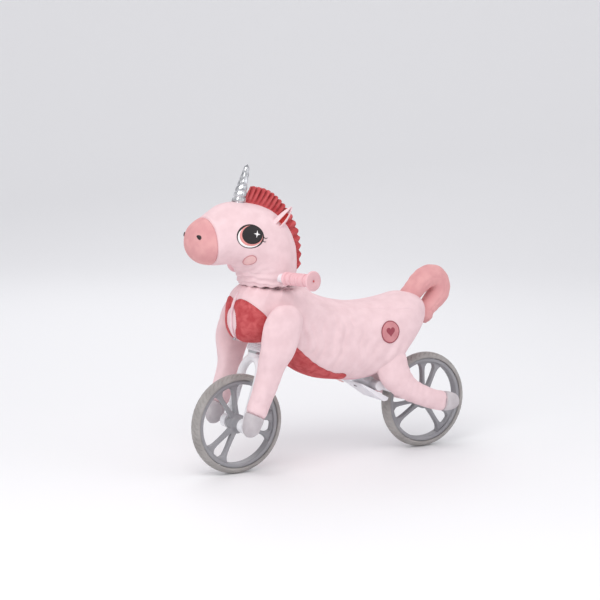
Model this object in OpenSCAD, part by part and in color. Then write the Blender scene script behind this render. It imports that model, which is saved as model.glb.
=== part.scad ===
// Plush unicorn balance bike: a two-wheeled ride-on with a padded animal cover.
// +X is forward, +Y is the rider's left, +Z is up. The origin is on the ground, at the middle
// of the overall length. Millimetres.

/* [Wheels] */
// Outside diameter of each tyre
wheel_d = 250; // [220:1:300]
// Distance between the two axles
wheelbase = 560; // [500:1:640]
// Width of each tyre
tyre_w = 34; // [30:1:42]
// Height of the tyre's wall, from the rim seat to the tread
tyre_wall = 15; // [11:1:20]
// Height of the rim's band under the tyre
rim_band = 11; // [8:1:14]
// Radius of the wheel hub
hub_r = 19; // [16:1:24]
// Width of the wheel hub over its two faces
hub_w = 50; // [44:1:56]
// Pairs of spokes in each wheel
spoke_pairs = 3; // [3:1:5]
// Thickness of the spokes along the axle
spoke_t = 16; // [12:1:22]
// Radius of each axle
axle_r = 4; // [3:0.5:5]
// Length of axle that stands out of each nut
axle_stub = 6; // [3:0.5:7]
// Outside radius of the wheel bearings
bearing_r = 11; // [10:0.5:13]

/* [Steering] */
// Lean of the steering axis from the vertical, in degrees
rake = 18; // [12:1:22]
// Centre line distance from the wheel's plane to each fork blade
blade_y = 42; // [38:1:50]
// Radius of the fork tube
blade_r = 11; // [9:0.5:13]
// Gap between the tyre and the fork's crown
crown_gap = 32; // [20:1:40]
// Outside radius of the steerer tube
steerer_r = 12.7; // [12:0.1:14.3]
// Length of the head tube
head_tube_len = 120; // [100:1:140]
// Wall of the head tube
head_tube_wall = 2.8; // [2:0.1:4]
// Radius of the handlebar tube
bar_r = 11.1; // [9.5:0.1:12.7]
// Forward reach of the stem
stem_reach = 40; // [25:1:55]
// Half of the handlebar's width, over the grips
bar_half = 188; // [165:1:210]
// Backward sweep of the handlebar's ends, in degrees
bar_sweep = 11; // [0:1:20]
// Rise of the handlebar's ends, in degrees
bar_rise = 2.5; // [0:0.5:8]
// Length of each grip
grip_len = 98; // [90:1:125]
// Radius of each grip
grip_r = 15; // [13.5:0.5:18]
// Radius of the hole in each grip's end
grip_hole_r = 3; // [2:0.5:5]

/* [Seat and frame] */
// Radius of the main beam
beam_r = 16; // [13:0.5:18]
// Outside radius of the seat post
post_r = 12.7; // [11:0.1:14]
// Travel of the seat post
seat_travel = 40; // [20:1:50]
// Travel of the stem in the steerer
stem_travel = 25; // [15:1:35]
// Width of the saddle
saddle_w = 100; // [84:1:104]
// Length of the saddle
saddle_len = 176; // [150:1:190]
// Width of the footrest
footrest_w = 96; // [92:1:104]

/* [Plush] */
// Thickness of the padded cover's wall
cover_t = 16; // [12:1:18]
// Thickness of the sewn patches and panels
patch_t = 2; // [1:0.1:3]
// Length of the horn
horn_len = 98; // [70:1:120]
// Radius of the horn's base
horn_r = 17.5; // [14:0.5:20]
// Height of the mane above the head
mane_h = 40; // [25:1:45]

/* [Hidden] */
$fn = 64;
fit = 0.05;      // running clearance of a shaft, in the radius
gap = 0.3;       // clearance between pieces that don't touch
axle_z = wheel_d / 2;
tyre_top = wheel_d;
rim_r = axle_z - tyre_wall;
muzzle_reach = 134;                     // from the front axle to the tip of the nose
rear_x = -(wheelbase + max(muzzle_reach, axle_z) - axle_z) / 2;
front_x = rear_x + wheelbase;
blade_len = axle_z + crown_gap - blade_y + blade_r;      // axle to the start of the fork's arch
crown_s = blade_len + blade_y;          // axle to the crown, along the steering axis
race_h = 5;
bearing_h = 7;
cup_h = 3;
race_s = crown_s + blade_r;
tube_s = race_s + race_h + gap + bearing_h + cup_h;       // lower end of the head tube
tube_top_s = tube_s + head_tube_len;
nut_s = tube_top_s + cup_h + bearing_h + gap;
nut_h = 8;
stem_s = nut_s + nut_h + 38;            // height of the handlebar's centre on the axis
head_bore_r = steerer_r + 3.5;
head_tube_r = head_bore_r + head_tube_wall;
end_in = hub_w / 2 + 6;                 // inner face of the fork's and frame's ends
end_t = 2 * blade_r;
end_r = 18;
stay_r = 7.5;
frame_end_t = 2 * stay_r;
nut_t = 7;
bar_bend_y = 30;
grip_flange_r = 24.5;
grip_flange_t = 5;
seat_x = rear_x + 0.41 * wheelbase;     // where the seat tube meets the beam
seat_lean = 8;
beam_top = [front_x - sin(rake) * (tube_s + 0.42 * head_tube_len),
    axle_z + cos(rake) * (tube_s + 0.42 * head_tube_len)];
yoke = [rear_x + axle_z + 40, axle_z + 60];
beam_angle = atan2(beam_top[1] - yoke[1], beam_top[0] - yoke[0]);
beam_len = norm(beam_top - yoke);
post_tube_r = post_r + 2;
saddle_z = tyre_top + 98;               // underside of the saddle's base
saddle_pad_h = 26;
saddle_base_h = 6;
seat_base = [seat_x, yoke[1] + tan(beam_angle) * (seat_x - yoke[0])];
clamp_h = 14;

// ---------- places and curves ----------

module at_steering() translate([front_x, 0, axle_z]) rotate([0, -rake, 0]) children();
module at_beam() translate([yoke[0], 0, yoke[1]]) rotate([0, -beam_angle, 0]) children();
module at_seat() translate([seat_base[0], 0, seat_base[1]]) rotate([0, -seat_lean, 0]) children();
module across(y0, y1, r) translate([0, y0, 0]) rotate([-90, 0, 0]) cylinder(r = r, h = y1 - y0);
module both_sides() for (m = [0, 1]) mirror([0, m, 0]) children();
module ring(r_in, r_out, h) difference() {
    cylinder(r = r_out, h = h);
    translate([0, 0, -1]) cylinder(r = r_in, h = h + 2);
}

// Smooth curve through four neighbouring values.
function curve(a, b, c, d, f) =
    0.5 * (2 * b + (c - a) * f + (2 * a - 5 * b + 4 * c - d) * f * f + (3 * b - a - 3 * c + d) * f * f * f);
// A row of a table at share s of its length, with smooth values between the rows.
function row_at(table, s) =
    let (n = len(table) - 1, i = min(floor(s * n), n - 1), f = s * n - i)
    let (a = table[max(i - 1, 0)], b = table[i], c = table[i + 1], d = table[min(i + 2, n)])
    [for (k = [0:len(b) - 1]) curve(a[k], b[k], c[k], d[k], f)];
function flat_pow(v, n) = sign(v) * pow(abs(v), 2 / n);
function mean(points) = [for (k = [0:2]) [for (p = points) p[k]] * [for (p = points) 1] / len(points)];
function unit(v) = v / norm(v);
function steps(a, b, n) = [for (i = [0:n]) a + (b - a) * i / n];
function turn(n) = [for (i = [0:n - 1]) 360 * i / n];

function reversed(list) = [for (i = [len(list) - 1:-1:0]) list[i]];
// A closed skin over rings of points, with a fan over each end, whichever way the rings run.
module skin(ordered) {
    n = len(ordered[0]);
    m = len(ordered);
    c = mean(ordered[0]);
    along = mean(ordered[1]) - c;
    rings = cross(ordered[0][0] - c, ordered[0][floor(n / 4)] - c) * along > 0 ? ordered : reversed(ordered);
    points = [for (r = rings) each r, mean(rings[0]), mean(rings[m - 1])];
    sides = [for (i = [0:m - 2], j = [0:n - 1]) let (k = (j + 1) % n, a = i * n, b = a + n)
        each [[a + j, b + j, b + k], [a + j, b + k, a + k]]];
    first = [for (j = [0:n - 1]) [m * n, j, (j + 1) % n]];
    last = [for (j = [0:n - 1]) [m * n + 1, (m - 1) * n + (j + 1) % n, (m - 1) * n + j]];
    polyhedron(points = points, faces = concat(sides, first, last), convexity = 6);
}

// ---------- the body's outer surface ----------

// From the rump to the chest: share of the wheelbase, top and bottom above the tyres, half width.
body_rows = [
    [0.020, 126, 104, 16], [0.041, 147, 82, 40], [0.082, 162, 52, 61], [0.142, 167, 18, 76],
    [0.215, 161, -16, 84], [0.300, 155, -36, 89], [0.390, 154, -43, 89], [0.480, 161, -40, 89],
    [0.570, 176, -33, 89], [0.660, 196, -18, 89], [0.735, 209, 8, 89], [0.805, 216, 42, 88],
    [0.875, 219, 66, 85], [0.938, 216, 77, 78], [0.982, 206, 84, 64], [1.010, 180, 96, 42],
    [1.024, 154, 118, 20]];
body_square = 2.5;
// Point on the body at share s from the rump, turned t degrees from the top towards +Y.
function body_at(s, t, out = 0) =
    let (r = row_at(body_rows, s), mid = (r[1] + r[2]) / 2, half = (r[1] - r[2]) / 2)
    [rear_x + r[0] * wheelbase,
     (r[3] + out) * flat_pow(sin(t), body_square),
     tyre_top + mid + (half + out) * flat_pow(cos(t), body_square)];
function body_ring(s, n, out = 0) = [for (t = turn(n)) body_at(s, t, out)];

// ---------- the head's outer surface ----------

// The sections stand upright along the nose, then fan round the throat down to the neck.
throat = [front_x + 40, tyre_top + 232];
// Nose to neck: forward of the throat, fan angle, near and far edge from the throat, half width.
head_rows = [
    [muzzle_reach - 40, 0, 92, 112, 12], [88, 0, 74, 130, 30], [78, 0, 61, 145, 43],
    [62, 0, 51, 156, 53], [44, 0, 46, 164, 59], [22, 0, 44, 177, 64], [0, 0, 44, 189, 69],
    [0, 10, 45, 198, 74], [0, 22, 47, 204, 78], [0, 36, 49, 214, 81], [0, 50, 51, 218, 82],
    [0, 64, 53, 214, 80], [0, 77, 55, 205, 76], [0, 90, 58, 197, 72]];
function head_at(s, t, out = 0) =
    let (r = row_at(head_rows, s), mid = (r[2] + r[3]) / 2, half = (r[3] - r[2]) / 2 + out)
    let (d = mid + half * flat_pow(cos(t), 2.15))
    [throat[0] + r[0] - sin(r[1]) * d, (r[4] + out) * flat_pow(sin(t), 2.15), throat[1] + cos(r[1]) * d];
function head_ring(s, n, out = 0) = [for (t = turn(n)) head_at(s, t, out)];
muzzle_s = 0.345;   // where the muzzle's cap ends

// A sewn panel that covers the body's cells from ring i0 to i1 and from side j0 to j1.
body_n = 32;
module body_panel(i0, i1, j0, j1) {
    w = j1 - j0 + 1;
    m = i1 - i0 + 1;
    points = [for (out = [gap, patch_t], i = [i0:i1], j = [j0:j1]) body_at(i / body_n, j * 360 / body_n, out)];
    function cell(a, b, c, d) = [[a, b, c], [a, c, d]];
    low = [for (i = [0:m - 2], j = [0:w - 2]) let (k = i * w + j) each cell(k, k + 1, k + w + 1, k + w)];
    high = [for (f = low) [for (q = reversed(f)) q + w * m]];
    rim = concat([for (j = [0:w - 2]) [j, j + 1]], [for (i = [0:m - 2]) [i * w + w - 1, i * w + 2 * w - 1]],
        [for (j = [w - 2:-1:0]) [(m - 1) * w + j + 1, (m - 1) * w + j]], [for (i = [m - 2:-1:0]) [i * w + w, i * w]]);
    wall = [for (e = rim) each cell(e[1], e[0], e[0] + w * m, e[1] + w * m)];
    polyhedron(points = points, faces = concat(low, high, wall), convexity = 4);
}
module head_patch(s, t, ds, dt, n = 24) skin(concat(
    [for (f = [0.04, 0.5, 1]) [for (a = turn(n)) head_at(s + ds * f * cos(a), t + dt * f * sin(a), gap)]],
    [for (f = [1, 0.5, 0.04]) [for (a = turn(n)) head_at(s + ds * f * cos(a), t + dt * f * sin(a), patch_t)]]));

// ---------- frame ----------

post_top = (saddle_z - seat_base[1]) / cos(seat_lean);   // seat post's top, from the beam's axis
seat_tube_top = post_top - seat_travel - clamp_h / 2 - 4;
cup_r = head_tube_r + 3;
screw_r = 2.5;
screw_x = [-20, 38];
stay_y = end_in + frame_end_t / 2;
stay_dx = rear_x - yoke[0];
stay_dz = axle_z - yoke[1];
footrest_top = -beam_r - gap;

module main_frame() color("white") difference() {
    union() {
        at_steering() translate([0, 0, tube_s]) cylinder(r = head_tube_r, h = head_tube_len);
        at_beam() rotate([0, 90, 0]) cylinder(r = beam_r, h = beam_len);
        at_beam() across(-stay_y - stay_r, stay_y + stay_r, stay_r + 5);
        at_seat() translate([0, 0, -beam_r - 2]) cylinder(r = post_tube_r, h = seat_tube_top + beam_r + 2);
        both_sides() {
            translate([yoke[0], stay_y, yoke[1]]) rotate([0, 90 + atan2(stay_dz, -stay_dx) + 180, 0])
                cylinder(r = stay_r, h = norm([stay_dx, stay_dz]));
            translate([rear_x, 0, axle_z]) across(end_in, end_in + frame_end_t, end_r);
        }
    }
    at_steering() translate([0, 0, tube_s - 1]) cylinder(r = head_bore_r, h = head_tube_len + 2);
    at_seat() translate([0, 0, -beam_r - 9]) cylinder(r = post_r + fit, h = seat_tube_top + beam_r + 30);
    translate([rear_x, 0, axle_z]) across(-end_in - end_t, end_in + end_t, axle_r);
    translate([rear_x, 0, axle_z]) rotate([90, 0, 0]) cylinder(r = axle_z + 8, h = 2 * end_in, center = true);
    at_beam() for (x = screw_x) translate([x, 0, -beam_r - 2]) cylinder(r = screw_r, h = 14);
}

// One headset cup: a flange on the tube's end, a spigot in its bore and a seat for the bearing.
module headset_cup() difference() {
    union() {
        cylinder(r = head_bore_r, h = 9);
        translate([0, 0, -cup_h - bearing_h]) cylinder(r = cup_r, h = cup_h + bearing_h);
    }
    translate([0, 0, -30]) cylinder(r = steerer_r + 1, h = 60);
    translate([0, 0, -cup_h - bearing_h - 1]) cylinder(r = head_tube_r, h = bearing_h + 1);
}
module headset_cups() color("silver") at_steering() {
    translate([0, 0, tube_s]) headset_cup();
    translate([0, 0, tube_top_s]) mirror([0, 0, 1]) headset_cup();
}
module headset_bearings() color("gray") at_steering()
    for (s = [tube_s - cup_h - bearing_h, tube_top_s + cup_h])
        translate([0, 0, s]) ring(steerer_r + fit, head_tube_r, bearing_h);

// Ribbed sleeve over the lower headset
boot_ribs = 5;
boot_low = race_s + race_h + 1;
boot_h = 26;
module headset_boot() color("whitesmoke") at_steering() translate([0, 0, boot_low]) rotate_extrude()
    difference() {
        polygon([[head_tube_r, 0], [cup_r + 2, 0],
            for (i = [0:boot_ribs * 2]) [cup_r + (i % 2 == 0 ? 2 : 4), 2 + i * (boot_h - 4) / (boot_ribs * 2)],
            [cup_r + 2, boot_h], [head_tube_r, boot_h]]);
        translate([0, -1]) square([cup_r, tube_s - boot_low + 1]);
    }

module seat_clamp() color("silver") at_seat() translate([0, 0, seat_tube_top - clamp_h]) difference() {
    union() {
        cylinder(r = post_tube_r + 4, h = clamp_h);
        translate([-post_tube_r - 14, -7, 0]) cube([18, 14, clamp_h]);
    }
    translate([0, 0, -1]) cylinder(r = post_tube_r, h = clamp_h + 2);
    translate([-post_tube_r - 20, -1, -1]) cube([24, 2, clamp_h + 2]);
    translate([-post_tube_r - 9, 0, clamp_h / 2]) across(-10, 10, screw_r);
}
module seat_clamp_bolt() color("gray") at_seat()
    translate([-post_tube_r - 9, 0, seat_tube_top - clamp_h / 2]) {
        across(-9, 7, screw_r);
        across(7, 11, screw_r * 1.7);
        across(-11, -7, screw_r * 1.7);
    }

module footrest() color("white") at_beam() difference() {
    translate([0, footrest_w / 2, 0]) rotate([90, 0, 0]) linear_extrude(footrest_w)
        polygon([[-38, footrest_top], [-38, footrest_top - 8], [-30, footrest_top - 14],
            [48, footrest_top - 5], [54, footrest_top]]);
    for (x = screw_x) translate([x, 0, footrest_top - 20]) cylinder(r = screw_r, h = 24);
    for (x = screw_x) translate([x, 0, footrest_top - 20]) cylinder(r = screw_r * 2, h = 18 - 4);
}
module footrest_screws() color("silver") at_beam()
    for (x = screw_x) translate([x, 0, footrest_top - 9]) {
        translate([0, 0, 3]) cylinder(r = screw_r, h = 15);
        cylinder(r = screw_r * 1.8, h = 3);
    }

// ---------- axles and wheels ----------

module at_axle(x) translate([x, 0, axle_z]) children();
module axle(x, end) at_axle(x) across(-end - nut_t - axle_stub, end + nut_t + axle_stub, axle_r);
module nuts(x, end) at_axle(x) both_sides() translate([0, end, 0]) rotate([-90, 0, 0]) difference() {
    cylinder(r = axle_r * 1.9, h = nut_t, $fn = 6);
    translate([0, 0, -1]) cylinder(r = axle_r, h = nut_t + 2);
}
module spacers(x) at_axle(x) both_sides() translate([0, hub_w / 2 + gap, 0]) rotate([-90, 0, 0])
    ring(axle_r, axle_r + 4, end_in - hub_w / 2 - gap);
rear_end = end_in + frame_end_t;
front_end = end_in + end_t;
module rear_axle() color("silver") axle(rear_x, rear_end);
module rear_axle_nuts() color("silver") nuts(rear_x, rear_end);
module rear_spacers() color("gray") spacers(rear_x);
module front_axle() color("silver") axle(front_x, front_end);
module front_axle_nuts() color("silver") nuts(front_x, front_end);
module front_spacers() color("gray") spacers(front_x);

rim_w = tyre_w - 8;
bearing_w = 8;
spoke_splay = 14;
module wheel_turn(x, phase) at_axle(x) rotate([90, 0, 0]) rotate([0, 0, phase]) children();
// One spoke, from the hub to the rim's band, widening at both ends.
module spoke() polygon([[hub_r * 0.4, -5], [hub_r + 10, -5.5], [rim_r * 0.6, -4], [rim_r - rim_band - 8, -5],
    [rim_r - rim_band + 3, -11], [rim_r - rim_band + 3, 11], [rim_r - rim_band - 8, 5], [rim_r * 0.6, 4],
    [hub_r + 10, 5.5], [hub_r * 0.4, 5]]);
module rim(x, phase) color("darkgray") wheel_turn(x, phase) difference() {
    union() {
        rotate_extrude($fn = 96) polygon([[rim_r - rim_band, -rim_w / 2 + 3], [rim_r - rim_band + 3, -rim_w / 2],
            [rim_r, -rim_w / 2], [rim_r, rim_w / 2], [rim_r - rim_band + 3, rim_w / 2],
            [rim_r - rim_band, rim_w / 2 - 3]]);
        cylinder(r = hub_r, h = hub_w, center = true);
        linear_extrude(spoke_t, center = true) {
            circle(r = hub_r + 4);
            for (k = [0:spoke_pairs - 1], m = [-1, 1]) rotate(k * 360 / spoke_pairs + m * spoke_splay) spoke();
        }
    }
    cylinder(r = axle_r + 3, h = hub_w + 2, center = true);
    for (m = [0, 1]) mirror([0, 0, m]) translate([0, 0, hub_w / 2 - bearing_w]) cylinder(r = bearing_r, h = bearing_w + 1);
}
module tyre(x) color("gray") wheel_turn(x, 0) rotate_extrude($fn = 96) difference() {
    intersection() {
        translate([axle_z - tyre_w * 0.62, 0]) circle(r = tyre_w * 0.62);
        translate([rim_r, -tyre_w / 2]) square([tyre_wall, tyre_w]);
    }
    translate([rim_r - 1, -1]) square([1, 2]);
}
module bearings(x) color("darkgoldenrod") wheel_turn(x, 0)
    for (m = [0, 1]) mirror([0, 0, m]) translate([0, 0, hub_w / 2 - bearing_w]) ring(axle_r + fit, bearing_r, bearing_w);
front_phase = 70;
rear_phase = 102;
module front_rim() rim(front_x, front_phase);
module front_tyre() tyre(front_x);
module front_bearings() bearings(front_x);
module rear_rim() rim(rear_x, rear_phase);
module rear_tyre() tyre(rear_x);
module rear_bearings() bearings(rear_x);

// ---------- steering ----------

stem_r = steerer_r - 1.7;               // quill, inside the steerer
steerer_top = nut_s + nut_h;
quill_low = nut_s - stem_travel - 35;
module fork() color("white") at_steering() difference() {
    union() {
        translate([0, 0, blade_len]) rotate([0, 90, 0]) rotate([0, 0, 90])
            rotate_extrude(angle = 180) translate([blade_y, 0]) circle(r = blade_r);
        both_sides() translate([0, blade_y, 0]) cylinder(r = blade_r, h = blade_len);
        both_sides() across(end_in, front_end, end_r);
        translate([0, 0, crown_s]) cylinder(r = head_tube_r, h = race_s - crown_s);
        translate([0, 0, crown_s]) cylinder(r = steerer_r, h = steerer_top - crown_s);
    }
    across(-front_end - 1, front_end + 1, axle_r);
    translate([0, 0, race_s + 6]) cylinder(r = stem_r + fit, h = steerer_top);
}
module crown_race() color("silver") at_steering() translate([0, 0, race_s]) ring(steerer_r, cup_r - 2, race_h);
module headset_nut() color("silver") at_steering() translate([0, 0, nut_s]) difference() {
    cylinder(r = steerer_r + 6, h = nut_h, $fn = 6);
    translate([0, 0, -1]) cylinder(r = steerer_r, h = nut_h + 2);
}
module at_bar() at_steering() translate([stem_reach, 0, stem_s]) rotate([0, rake, 0]) children();
clamp_r = bar_r + 5;
module stem() color("white") difference() {
    union() {
        at_steering() translate([0, 0, quill_low]) cylinder(r = stem_r, h = stem_s - quill_low + clamp_r);
        at_steering() translate([0, 0, stem_s]) rotate([0, 90, 0]) cylinder(r = clamp_r - 2, h = stem_reach);
        at_bar() across(-20, 20, clamp_r);
    }
    at_bar() across(-30, 30, bar_r);
    at_steering() translate([0, 0, quill_low - 1]) cylinder(r = screw_r + 1, h = stem_s - quill_low + clamp_r + 2);
    at_bar() for (y = [-12, 12]) translate([clamp_r - 1, y, -20]) cylinder(r = screw_r, h = 40);
}
module stem_bolts() color("gray") {
    at_steering() translate([0, 0, quill_low]) cylinder(r = screw_r + 1, h = stem_s - quill_low + clamp_r);
    at_steering() translate([0, 0, stem_s + clamp_r]) cylinder(r = screw_r + 4, h = 4);
    at_bar() for (y = [-12, 12]) translate([clamp_r - 1, y, 0]) cylinder(r = screw_r, h = 26, center = true);
}
module bar_side(m) mirror([0, m, 0]) at_bar() translate([0, bar_bend_y, 0]) rotate([bar_rise, 0, bar_sweep])
    rotate([-90, 0, 0]) children();
side_len = (bar_half - bar_bend_y) / cos(bar_sweep) - grip_flange_t;
module handlebar() color("white") difference() {
    union() {
        at_bar() across(-bar_bend_y, bar_bend_y, bar_r);
        for (m = [0, 1]) bar_side(m) {
            sphere(r = bar_r + 0.5);
            cylinder(r = bar_r, h = side_len);
        }
    }
    for (m = [0, 1]) bar_side(m) translate([0, 0, 40]) cylinder(r = bar_r - 1.8, h = side_len);
}
grip_ribs = 14;
module grip(m) color("pink") bar_side(m) translate([0, 0, side_len - grip_len + grip_flange_t]) difference() {
    rotate_extrude() polygon([[grip_hole_r, 0], [grip_r + 2, 0], [grip_r + 2, 4],
        for (i = [0:grip_ribs * 2]) [grip_r - (i % 2) * 1, 6 + i * (grip_len - grip_flange_t - 12) / (grip_ribs * 2)],
        [grip_r + 2, grip_len - grip_flange_t - 3], [grip_flange_r - 1, grip_len - grip_flange_t],
        [grip_flange_r, grip_len - grip_flange_t + 1], [grip_flange_r, grip_len - 1], [grip_flange_r - 1.5, grip_len],
        [grip_hole_r, grip_len]]);
    translate([0, 0, -1]) cylinder(r = bar_r, h = grip_len - grip_flange_t + 1);
}
module grip_left() grip(0);
module grip_right() grip(1);

// ---------- saddle ----------

saddle_rows = [[-0.50, 34, 0.55], [-0.46, 46, 0.8], [-0.30, 50, 1], [0.00, 40, 0.92], [0.28, 27, 0.9],
    [0.46, 20, 0.8], [0.50, 12, 0.5]];
saddle_x = seat_base[0] - sin(seat_lean) * post_top;
module saddle_pad() color("dimgray") translate([saddle_x, 0, saddle_z + saddle_base_h + gap])
    skin([for (s = steps(0, 1, 12)) let (r = row_at(saddle_rows, s), w = r[1] * saddle_w / 100, h = saddle_pad_h * r[2])
        [for (a = turn(20)) [r[0] * saddle_len, w * flat_pow(sin(a), 2.6), h / 2 * (1 + flat_pow(cos(a), 2.6))]]]);
module saddle_base() color("black") translate([saddle_x, 0, saddle_z]) {
    difference() {
        linear_extrude(saddle_base_h) polygon([
            [-0.47 * saddle_len, -0.30 * saddle_w], [-0.30 * saddle_len, -0.42 * saddle_w],
            [0, -0.34 * saddle_w], [0.45 * saddle_len, -0.12 * saddle_w], [0.45 * saddle_len, 0.12 * saddle_w],
            [0, 0.34 * saddle_w], [-0.30 * saddle_len, 0.42 * saddle_w], [-0.47 * saddle_len, 0.30 * saddle_w]]);
        rotate([0, -seat_lean, 0]) cylinder(r = post_r + fit, h = 40, center = true);
    }
}
module seat_post() color("silver") at_seat() translate([0, 0, seat_travel - 18])
    cylinder(r = post_r, h = post_top - seat_travel + 18 + 3);

// ---------- limbs and tail ----------

// A limb's section: an oval at [x, z], turned a degrees, long half size, side half size and its y.
function limb_ring(r, n) = [for (t = turn(n)) let (u = r[3] * flat_pow(cos(t), 2.3))
    [r[0] + cos(r[2]) * u, r[5] + r[4] * flat_pow(sin(t), 2.3), r[1] + sin(r[2]) * u]];
module limb(table, s0, s1, rings, n = 20)
    skin([for (s = steps(s0, s1, rings)) limb_ring(row_at(table, s), n)]);

shoulder_in = 86.3 + gap;                // the shoulder lies against the body's side
leg_in = 74;                            // the legs hang clear of the fork
front_leg_rows = [for (r = [
    // forward of the axle, height, turn, half length, half thickness, y of its inner face
    [-99, 303, 20, 6, 4, 108], [-96, 297, 20, 26, 11, 96], [-88, 281, 18, 42, 17, 90],
    [-76, 254, 16, 48, 20, shoulder_in], [-66, 222, 14, 48, 22, shoulder_in], [-57, 190, 12, 44, 22, 87],
    [-46, 158, 14, 36, 21, 81], [-36, 128, 20, 31, 21, 76], [-22, 96, 26, 29, 21, leg_in],
    [-4, 60, 28, 27, 20, leg_in], [10, 34, 26, 26, 20, leg_in], [19, 12, 16, 24, 18, leg_in + 1],
    [22, -4, 8, 20, 15, leg_in + 4], [24, -15, 4, 8, 6, leg_in + 13]])
    [front_x + r[0], axle_z + r[1], r[2], r[3], r[4], r[5] + r[4]]];
front_seam = 0.755;
rear_leg_rows = [for (r = [
    [170, 142, 130, 54, 18, 50], [148, 106, 129, 60, 22, 46], [124, 72, 128, 45, 24, 46], [94, 50, 124, 33, 23, 48],
    [58, 30, 118, 28, 21, 56], [20, 15, 108, 26, 19, 61], [-12, 8, 98, 26, 19, 61], [-36, 5, 94, 23, 17, 62],
    [-52, 3, 92, 16, 12, 66], [-60, 2, 90, 5, 4, 74]])
    [rear_x + r[0], axle_z + r[1], r[2], r[3], r[4], r[5] + r[4]]];
rear_seam = 0.655;
// The tail's centre line behind the rump, with its radius.
tail_rows = [for (r = [
    [52, 272, 24], [32, 290, 24], [10, 312, 25], [-12, 326, 25], [-36, 322, 25], [-51, 302, 25],
    [-48, 277, 24], [-29, 256, 21], [-16, 236, 18], [-11, 216, 16], [-8, 203, 6]])
    [rear_x + r[0], axle_z + r[1], r[2]]];
// A tube's section, square to its centre line.
function tube_ring(table, s, n) =
    let (p = row_at(table, s), a = row_at(table, max(s - 0.02, 0)), b = row_at(table, min(s + 0.02, 1)))
    let (u = unit([b[0] - a[0], b[1] - a[1]]))
    [for (t = turn(n)) [p[0] - u[1] * p[2] * cos(t), p[2] * sin(t), p[1] + u[0] * p[2] * cos(t)]];

module body_solid(out) skin([for (s = steps(0, 1, body_n)) body_ring(s, body_n, out)]);
module front_leg(m) color("pink") mirror([0, m, 0]) limb(front_leg_rows, 0, front_seam, 14);
module front_hoof(m) color("lightgray") mirror([0, m, 0]) limb(front_leg_rows, front_seam, 1, 5);
module rear_leg(m) color("pink") mirror([0, m, 0]) difference() {
    limb(rear_leg_rows, 0, rear_seam, 10);
    body_solid(gap);
}
module rear_hoof(m) color("lightgray") mirror([0, m, 0]) limb(rear_leg_rows, rear_seam, 1, 5);
module front_leg_left() front_leg(0);
module front_leg_right() front_leg(1);
module front_hoof_left() front_hoof(0);
module front_hoof_right() front_hoof(1);
module rear_leg_left() rear_leg(0);
module rear_leg_right() rear_leg(1);
module rear_hoof_left() rear_hoof(0);
module rear_hoof_right() rear_hoof(1);
module tail() color("salmon") difference() {
    skin([for (s = steps(0, 1, 26)) tube_ring(tail_rows, s, 14)]);
    body_solid(gap);
}
module body_cover() color("mistyrose") difference() {
    body_solid(0);
    skin([for (s = steps(0.04, 0.96, 24)) body_ring(s, 24, -cover_t)]);
    at_steering() translate([0, 0, race_s - 20]) cylinder(r = cup_r + 8, h = 300);
    at_beam() translate([-120, -50, -90]) cube([238, 100, 90 + beam_r + 6]);
}

// ---------- sewn panels on the body ----------

module chest_panel(m) color("indianred") mirror([0, m, 0]) body_panel(26, 31, 2, 13);
module chest_panel_left() chest_panel(0);
module chest_panel_right() chest_panel(1);
module belly_panel() color("indianred") body_panel(15, 21, 11, 21);
module badge(m) color("lightpink") mirror([0, m, 0]) body_panel(9, 11, 6, 8);
module badge_left() badge(0);
module badge_right() badge(1);
module belly_tab() color("salmon") translate(body_at(0.454, 180))
    rotate([90, 0, 0]) linear_extrude(24, center = true) polygon([[-34, -8], [4, 0.7], [-22, -16]]);

// The zip runs down the middle of the chest, from the collar round to the belly.
zip_w = 14;
zip_t = 2;
function zip_point(f, out) = f < 0.5 ? body_at(0.80 + 0.4 * f, 0, out) : body_at(1 - 0.32 * (f - 0.5), 180, out);
function zip_normal(f) = let (d = zip_point(min(f + 0.03, 1), 0) - zip_point(max(f - 0.03, 0), 0)) unit([-d[2], 0, d[0]]);
function zip_ring(f, low, high, w) = let (p = zip_point(f, 0), u = zip_normal(f))
    [for (q = [[low, -w], [high, -w], [high, w], [low, w]]) p + u * q[0] + [0, q[1], 0]];
module chest_zip() color("lavenderblush") skin([for (f = steps(0, 1, 24)) zip_ring(f, 1.2, 1.2 + zip_t, zip_w / 2)]);
module zip_slider() color("silver") skin([for (f = steps(0.80, 0.86, 2)) zip_ring(f, 3.5, 7, 4)]);

// ---------- head ----------

module head_solid(s0, s1, out) skin([for (s = steps(s0, s1, 26)) head_ring(s, 28, out)]);
module head() color("pink") difference() {
    head_solid(muzzle_s, 1, 0);
    at_steering() translate([0, 0, steerer_top]) cylinder(r = stem_r + 8, h = stem_s + clamp_r + 6 - steerer_top);
    at_steering() translate([0, 0, stem_s]) rotate([0, 90, 0]) cylinder(r = clamp_r, h = stem_reach);
    at_bar() across(-24, 24, clamp_r + 8);
    at_bar() across(-bar_bend_y - 4, bar_bend_y + 4, bar_r + 1);
    for (m = [0, 1]) bar_side(m) {
        cylinder(r = bar_r + gap, h = side_len);
        translate([0, 0, side_len - grip_len + grip_flange_t - 1]) cylinder(r = grip_r + 2 + gap, h = grip_len);
    }
}
module muzzle() color("salmon") skin([for (s = steps(0, muzzle_s, 9)) head_ring(s, 28)]);
mane_s = 0.60;
module mane() color("indianred") skin([for (s = steps(mane_s, 1, 24))
    let (p = head_at(s, 0, gap), q = head_at(s, 0, mane_h * (1 - 0.45 * (s - mane_s) / (1 - mane_s))))
    [for (e = [[0, -8], [1, -8], [1, 8], [0, 8]]) p + (q - p) * e[0] + [0, e[1], 0]]]);
horn_s = 0.565;
horn_lean = 16;
horn_turns = 7;
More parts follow.
